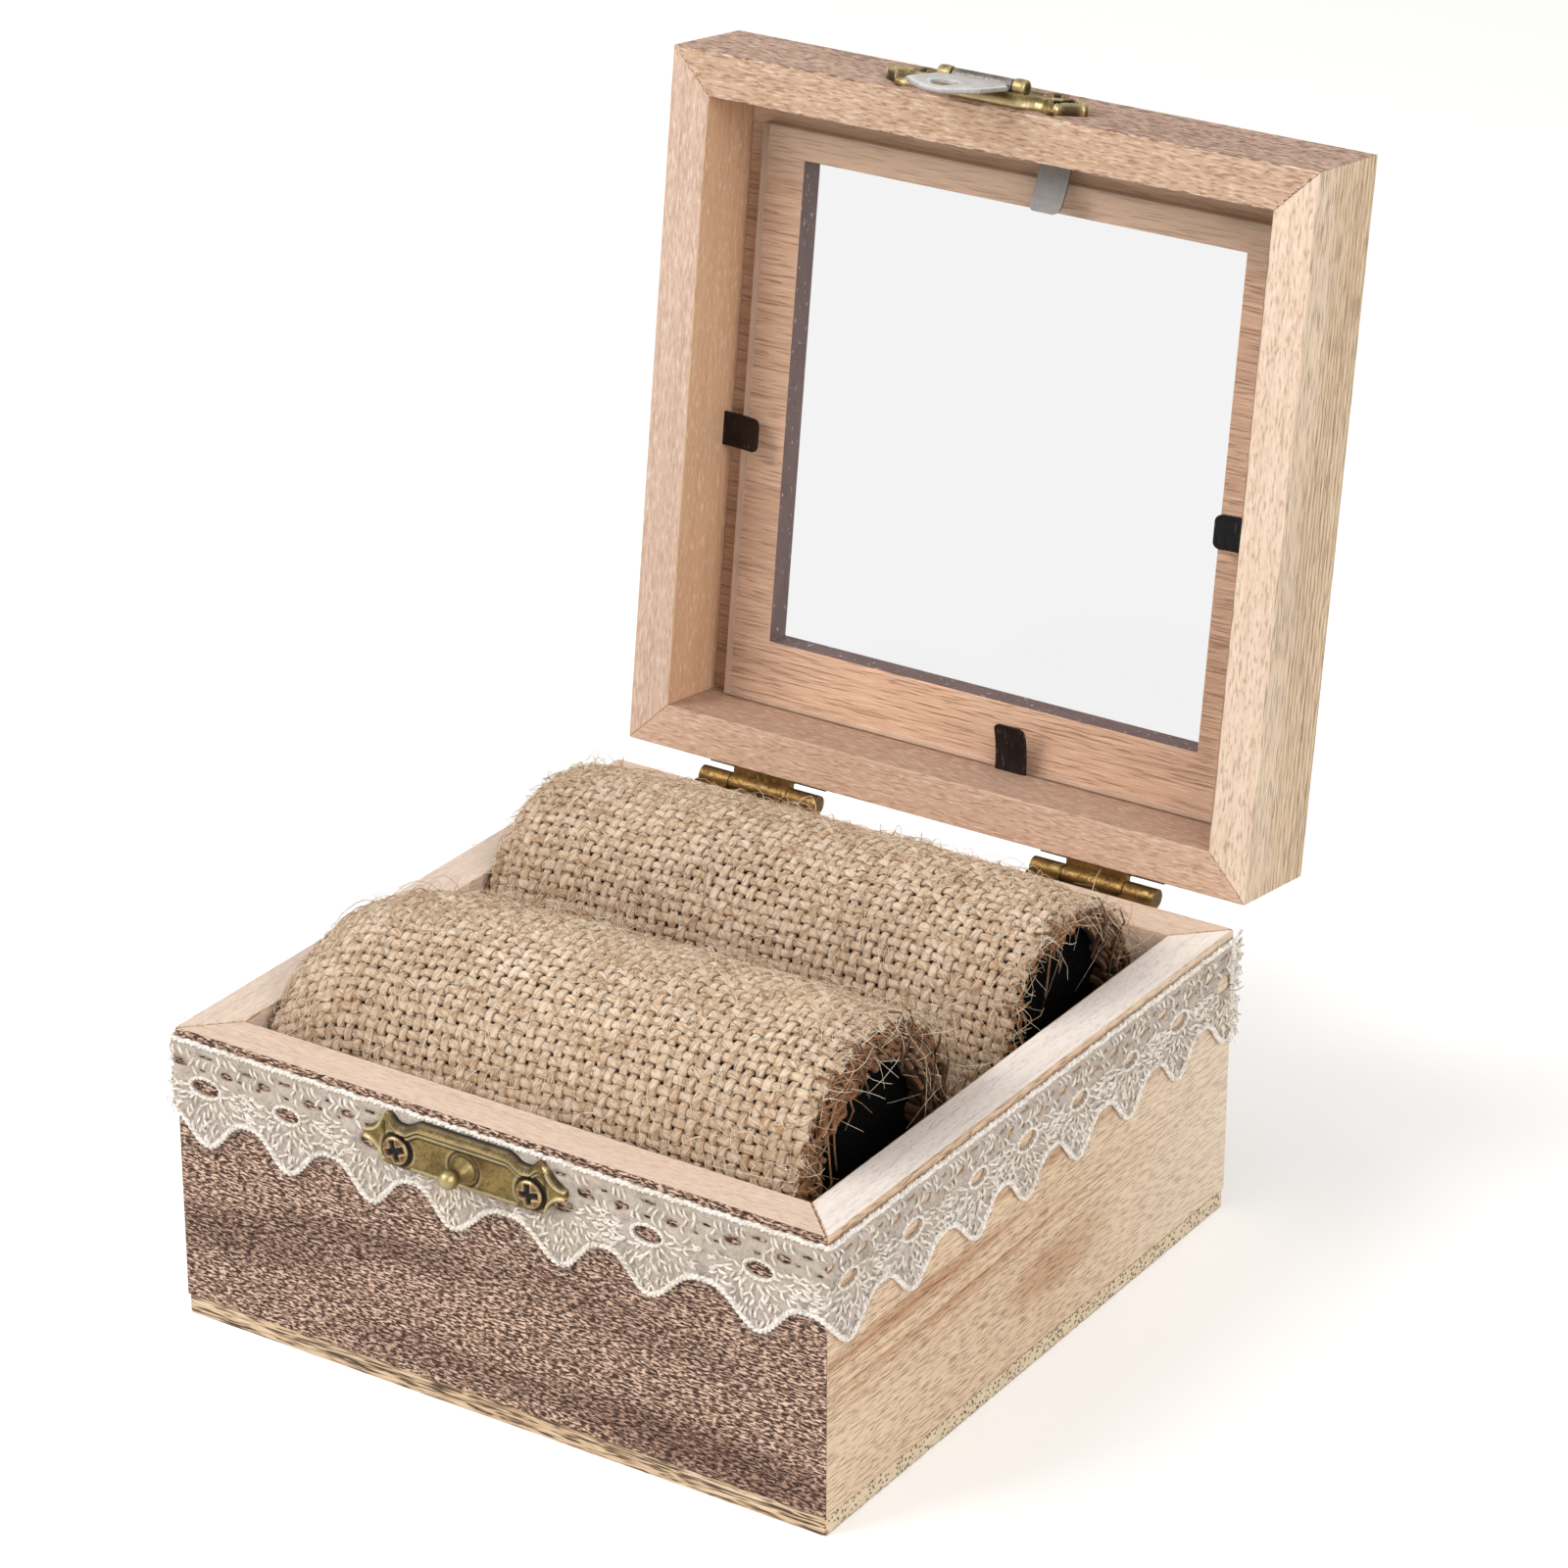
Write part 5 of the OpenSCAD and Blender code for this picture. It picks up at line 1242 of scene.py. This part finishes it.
def turned(name, start, ahead, profile, finish, lid, wear):
    # a turned part: profile is a list of (distance, radius), wear above nought is rubbed, below it is grimy
    profile = np.array(profile, float)
    path = np.array(start)[None] + np.array(ahead)[None] * profile[:, :1]
    sides, radii, upward = 28, profile[None, :, 1], np.broadcast_to((0, 0, 1), (1, len(path), 3))
    points, faces = strands(path[None], upward, radii, radii, sides)[:2]
    wear = np.repeat(np.asarray(wear, float), sides)
    return softEdges(makeMesh(name, points, faces, [finish], lid, marks=rubbed(wear, -wear)))


def makeScrew(name, spots, across, out, radius, high, turn, body, node):
    # domed heads with a cross recess, one at each spot
    step = 0.115
    sheet = cutSheet(lambda a, b: radius - np.hypot(a, b), (-radius - 0.05,) * 2, (radius + 0.05,) * 2, step)
    (a, b), cells, walls = sheet[0].T, *sheet[1:]
    u, w = a * math.cos(turn) + b * math.sin(turn), b * math.cos(turn) - a * math.sin(turn)
    r = np.hypot(a, b)
    dome = high * (0.3 + 0.7 * np.sqrt(np.clip(1 - (r / radius) ** 2, 0, 1)))
    arm, reach = 0.23 * radius, 0.72 * radius
    slot = np.minimum(np.maximum(np.abs(u) / arm, np.abs(w) / reach),
                      np.maximum(np.abs(w) / arm, np.abs(u) / reach))
    cut = softStep((1.12 - slot) / 0.3)
    wear = np.exp(-((slot - 1.3) / 0.22) ** 2) * 0.8 + 0.5 * np.exp(-((r / radius - 0.9) / 0.06) ** 2)
    pit = cut + np.exp(-((r / radius - 1.0) / 0.035) ** 2)
    n = len(a)
    flat = np.outer(a, across) + np.outer(b, (0, 0, 1))
    head = np.concatenate([flat + np.outer(dome - cut * high * 0.62, out),
                           flat + np.outer(np.full(n, -0.05), out)])
    sides = np.stack([walls[:, 1], walls[:, 0], walls[:, 0] + n, walls[:, 1] + n], -1)
    one = np.concatenate([cells, cells[:, ::-1] + n, sides])
    points = np.concatenate([np.array(spot)[None] + head for spot in spots])
    faces = np.concatenate([one + k * 2 * n for k in range(len(spots))])
    marks = rubbed(*(np.tile(part, 2 * len(spots)) for part in (wear, pit)))
    made = softEdges(makeMesh(name, points, faces, [screwMetal], body == "lid", marks=marks))
    seat(made, body, "aged_brass", node)


def flapField(a, b):
    wide = np.interp(b, [0.5, 1.9, 2.5, 3.3, 14], [4.5, 4.5, 5.0, 5.75, 5.75])
    tip = 7.5 - np.hypot(a, np.maximum(b - 5.9, 0))
    hole = np.hypot(a, b - 10.2) - 1.8
    return np.minimum(np.minimum(np.minimum(wide - np.abs(a), tip), hole), b - 0.7)


def makeFlap():
    look = latchLook
    tilt = math.radians(look["flapTilt"])
    start = np.array([look["x"], -50 - look["pinOut"], look["pinZ"]])
    down = np.array([0, -math.sin(tilt), -math.cos(tilt)])
    out = np.array([0, -math.cos(tilt), math.sin(tilt)])
    sheet = cutSheet(flapField, (-5.9, 0.6), (5.9, 13.5), look["flapStep"])
    a, b = sheet[0].T
    edge = flapField(a, b)

    def place(a, b, h):
        bend = 0.05 * np.maximum(b - 9.6, 0) ** 2 + 0.012 * np.maximum(np.abs(a) - 3.6, 0) ** 2
        return start[None] + np.outer(a, (1, 0, 0)) + np.outer(b, down) + np.outer(h - bend, out)

    lift = 0.32 - 0.16 * (1 - softStep(edge / 0.45))
    lift = lift + 0.05 * np.exp(-((np.hypot(a, b - 10.2) - 2.3) / 0.3) ** 2)
    wear = np.exp(-((edge - 0.3) / 0.22) ** 2) * 0.8
    pit = 0.6 * np.exp(-(edge / 0.1) ** 2) + 0.55 * np.exp(-((b - 1.2) / 0.35) ** 2)
    flap = reliefPiece("haspFlap", sheet, place, lift, -0.3, [steelWhite], True, rubbed(wear, pit))
    seat(flap, "hasp", "bright_metal", "hasp_flap")
    barrel = turned("haspBarrel", start - np.array([4.7, 0, 0]), (1, 0, 0),
                    [(0, 0.55), (0.02, 0.8), (0.15, 0.95), (1.5, 0.95), (3, 0.96), (4.7, 0.95), (6.5, 0.96),
                     (9.25, 0.95), (9.38, 0.8), (9.4, 0.55)], dullNickel, True,
                    [-0.8, -0.4, 0.6, 0, 0, 0, 0, 0.6, -0.4, -0.8])
    seat(barrel, "hasp", "bright_metal")
    for side, way in (("Left", -1), ("Right", 1)):
        at = start + np.array([way * 4.85, 0, 0])
        ear = turned("haspEar" + side, at, (way, 0, 0),
                     [(0, 0.7), (0.03, 1.0), (0.2, 1.12), (1.0, 1.15), (1.8, 1.1), (1.95, 0.95),
                      (2.0, 0.6)], bronze, True, [-0.6, 0.2, 0.7, 0.2, 0.7, 0.3, -0.3])
        foot = turned("haspEarFoot" + side, at + np.array([way, 0.1, 0]), (0, 1, 0),
                      [(0, 0.9), (0.5, 0.92), (1.0, 1.0), (1.35, 1.15)], bronze, True, [0.3, 0.1, 0, -0.7])
        seat(ear, "lid", "aged_brass")
        seat(foot, "lid", "aged_brass")


def makeStud():
    angle = np.radians(np.linspace(-44, 88, 16))
    ball = [(4.5 + 1.35 * math.sin(t), 1.35 * math.cos(t)) for t in angle]
    profile = [(1.2, 1.8), (1.5, 1.95), (1.75, 1.85), (2.1, 1.66), (2.6, 1.42), (3.1, 1.18), (3.4, 1.02),
               *ball]
    made = turned("catchStud", (latchLook["x"], -50, latchLook["studZ"]), (0, -1, 0), profile, bronze, False,
                  [-1, 0.3, 0.2, 0.1, 0.1, 0, -0.6, -0.7, *np.linspace(-0.2, 0.7, 15)])
    seat(made, "base", "aged_brass", "catch_stud")


def makeLatch():
    look = latchLook
    makePlate("catch")
    makePlate("hasp")
    makeFlap()
    makeStud()
    turns = {"catch": {"left": 0.35, "right": 0.12}, "hasp": {"left": 0.2, "right": 0.5}}
    for side, way in (("left", -1), ("right", 1)):
        for half, body, under in (("catch", "base", look["catchOn"]), ("hasp", "lid", 0.0)):
            spot = (look["x"] + way * look["screwOut"],
                    -50 - under - look[half + "Relief"] * look["screwSink"], look[half + "ScrewZ"])
            makeScrew(half + "Screw" + side.title(), [spot], (1, 0, 0), (0, -1, 0), look["screwRadius"],
                      look["screwHigh"], turns[half][side], body, half + "_screw_" + side)


makeLatch()
print("latch made")


def tabFinish(name, body, shade, edge):
    # spring steel: blued, with scratches and a bright cut edge; the front tab's pale greys are a painted
    # highlight
    f = Finish(name)
    spot = f.place()
    scratch = f.noise(spot, (3.2, 0.5, 0.5), 3, 0.6)
    cloud = f.noise(spot, (0.5, 0.5, 0.5), 2)
    colour = f.mix(cloud, body, shade)
    colour = f.mix(f.grey(scratch, [(0.62, 0), (0.75, 1)]) * 0.45, colour, edge)
    return f.surface(colour, 0.45 + 0.2 * scratch, scratch, 0.03, **{"Metallic": 0.55 + 0.25 * cloud})


def dress(node, finish):
    frame["nodes"][node].data.materials.clear()
    frame["nodes"][node].data.materials.append(finish)


# the front tab, topmost with the lid open, gets pale greys as a painted highlight
tabs = {"left": ("#2a1c17", "#1c1310", "#8f8a84"), "rear": ("#2e2220", "#1f1715", "#b9b4ae"),
        "right": ("#201f20", "#151415", "#77757a"), "front": ("#8f8c89", "#7c7875", "#c9c6c2")}
for side, colours in tabs.items():
    dress("pane_tab_" + side, tabFinish(side + " tab steel", *colours))
for side in ("left", "right"):
    for node in ("hinge_base_leaf_", "hinge_lid_leaf_", "hinge_pin_"):
        dress(node + side, plainBronze)
dress("hasp_pin", brightMetal)


hingeScrews = {"y": 50.7, "radius": 1.7, "high": 0.7, "left": 0.4, "right": 0.9}


def leafScrews():
    # the small screws in the hinge leaves, seen from the back
    for side in ("left", "right"):
        for half in ("base", "lid"):
            node = frame["nodes"]["hinge_" + half + "_screws_" + side]
            spots = np.array([(shutLid @ v.co if half == "lid" else v.co) / mm for v in node.data.vertices])
            split = spots[:, 0].mean()
            heads = []
            for part in (spots[spots[:, 0] < split], spots[spots[:, 0] >= split]):
                middle = (part.min(0) + part.max(0)) / 2
                heads.append((middle[0], hingeScrews["y"], middle[2]))
            makeScrew("hinge" + half.title() + "Screws" + side.title(), heads, (-1, 0, 0), (0, 1, 0),
                      hingeScrews["radius"], hingeScrews["high"], hingeScrews[side], half,
                      "hinge_" + half + "_screws_" + side)


leafScrews()
print("hinges and tabs finished")


# the camera fitted to the photo: angles in degrees, target and distance in millimetres
cameraLook = {"target": (-39.971, 77.779, 30.0), "azimuth": 33.22, "elevation": 24.768, "roll": 0.058,
              "distance": 805.247, "lens": 126.366, "sensor": 36, "clip": (0.02, 40)}


def makeCamera():
    look = cameraLook
    a, e, roll = (math.radians(look[key]) for key in ("azimuth", "elevation", "roll"))
    back = Vector((math.sin(a) * math.cos(e), -math.cos(a) * math.cos(e), math.sin(e)))
    data = bpy.data.cameras.new("camera")
    data.lens, data.sensor_width = look["lens"], look["sensor"]
    data.clip_start, data.clip_end = look["clip"]
    made = bpy.data.objects.new("camera", data)
    bpy.context.scene.collection.objects.link(made)
    turn = (-back).to_track_quat("-Z", "Y").to_matrix().to_4x4() @ Matrix.Rotation(roll, 4, "Z")
    made.matrix_world = Matrix.Translation((Vector(look["target"]) + back * look["distance"]) * mm) @ turn
    bpy.context.scene.camera = made


def makeLamp(name, place, size, power):
    data = bpy.data.lights.new(name, "AREA")
    data.shape, data.size, data.energy = "SQUARE", size, power
    made = bpy.data.objects.new(name, data)
    bpy.context.scene.collection.objects.link(made)
    made.location = place
    made.rotation_euler = (Vector(lightLook["aim"]) - Vector(place)).to_track_quat("-Z", "Y").to_euler()


# lamps are a place, a size in metres and a power in watts
lightLook = {"sky": 0.42, "skyShine": 0.35, "floor": "#f4f3f1", "floorLift": 0.3, "floorHalf": 4000,
             "aim": (0, 0.02, 0.06), "key": ((-0.75, -0.85, 1.05), 0.9, 15.5),
             "fill": ((1.25, -0.55, 0.75), 1.0, 11.5)}


def makeRoom():
    # the background is white where the camera sees it, straight or through the pane
    world = bpy.data.worlds.new("studio")
    bpy.context.scene.world = world
    w = Finish("studio", world)
    path = w.node("LightPath")
    direct = w.maths("MAXIMUM", w.wire(path, "Is Camera Ray"), w.wire(path, "Is Transmission Ray"))
    shine = w.wire(path, "Is Glossy Ray") * lightLook["skyShine"] + lightLook["sky"]
    sky = w.node("Background", None, {"Color": (1, 1, 1, 1), "Strength": direct + (1 - direct) * shine})
    w.node("OutputWorld", None, {"Surface": w.wire(sky)})
    f = Finish("pale floor")
    path = f.node("LightPath")
    direct = f.maths("MAXIMUM", f.wire(path, "Is Camera Ray"), f.wire(path, "Is Transmission Ray"))
    shader = f.node("BsdfDiffuse", None, {"Color": lightLook["floor"]})
    glow = f.node("Emission", None, {"Color": (1, 1, 1, 1), "Strength": direct * lightLook["floorLift"]})
    lifted = f.node("AddShader", None, {0: f.wire(shader), 1: f.wire(glow)})
    white = f.node("Emission", None, {"Color": (1, 1, 1, 1), "Strength": 1.0})
    through = f.wire(path, "Is Transmission Ray")
    both = f.node("MixShader", None, {0: through, 1: f.wire(lifted), 2: f.wire(white)})
    f.node("OutputMaterial", None, {"Surface": f.wire(both)})
    size = lightLook["floorHalf"]
    ground = makeMesh("floor", [(-size, -size, 0), (size, -size, 0), (size, size, 0), (-size, size, 0)],
                      [[0, 1, 2, 3]], [f.material], smooth=False)
    ground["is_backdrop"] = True
    for lamp in ("key", "fill"):
        makeLamp(lamp, *lightLook[lamp])
    bpy.context.scene.view_settings.view_transform = "Standard"


makeCamera()
makeRoom()
print("camera and room made")

low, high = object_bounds()
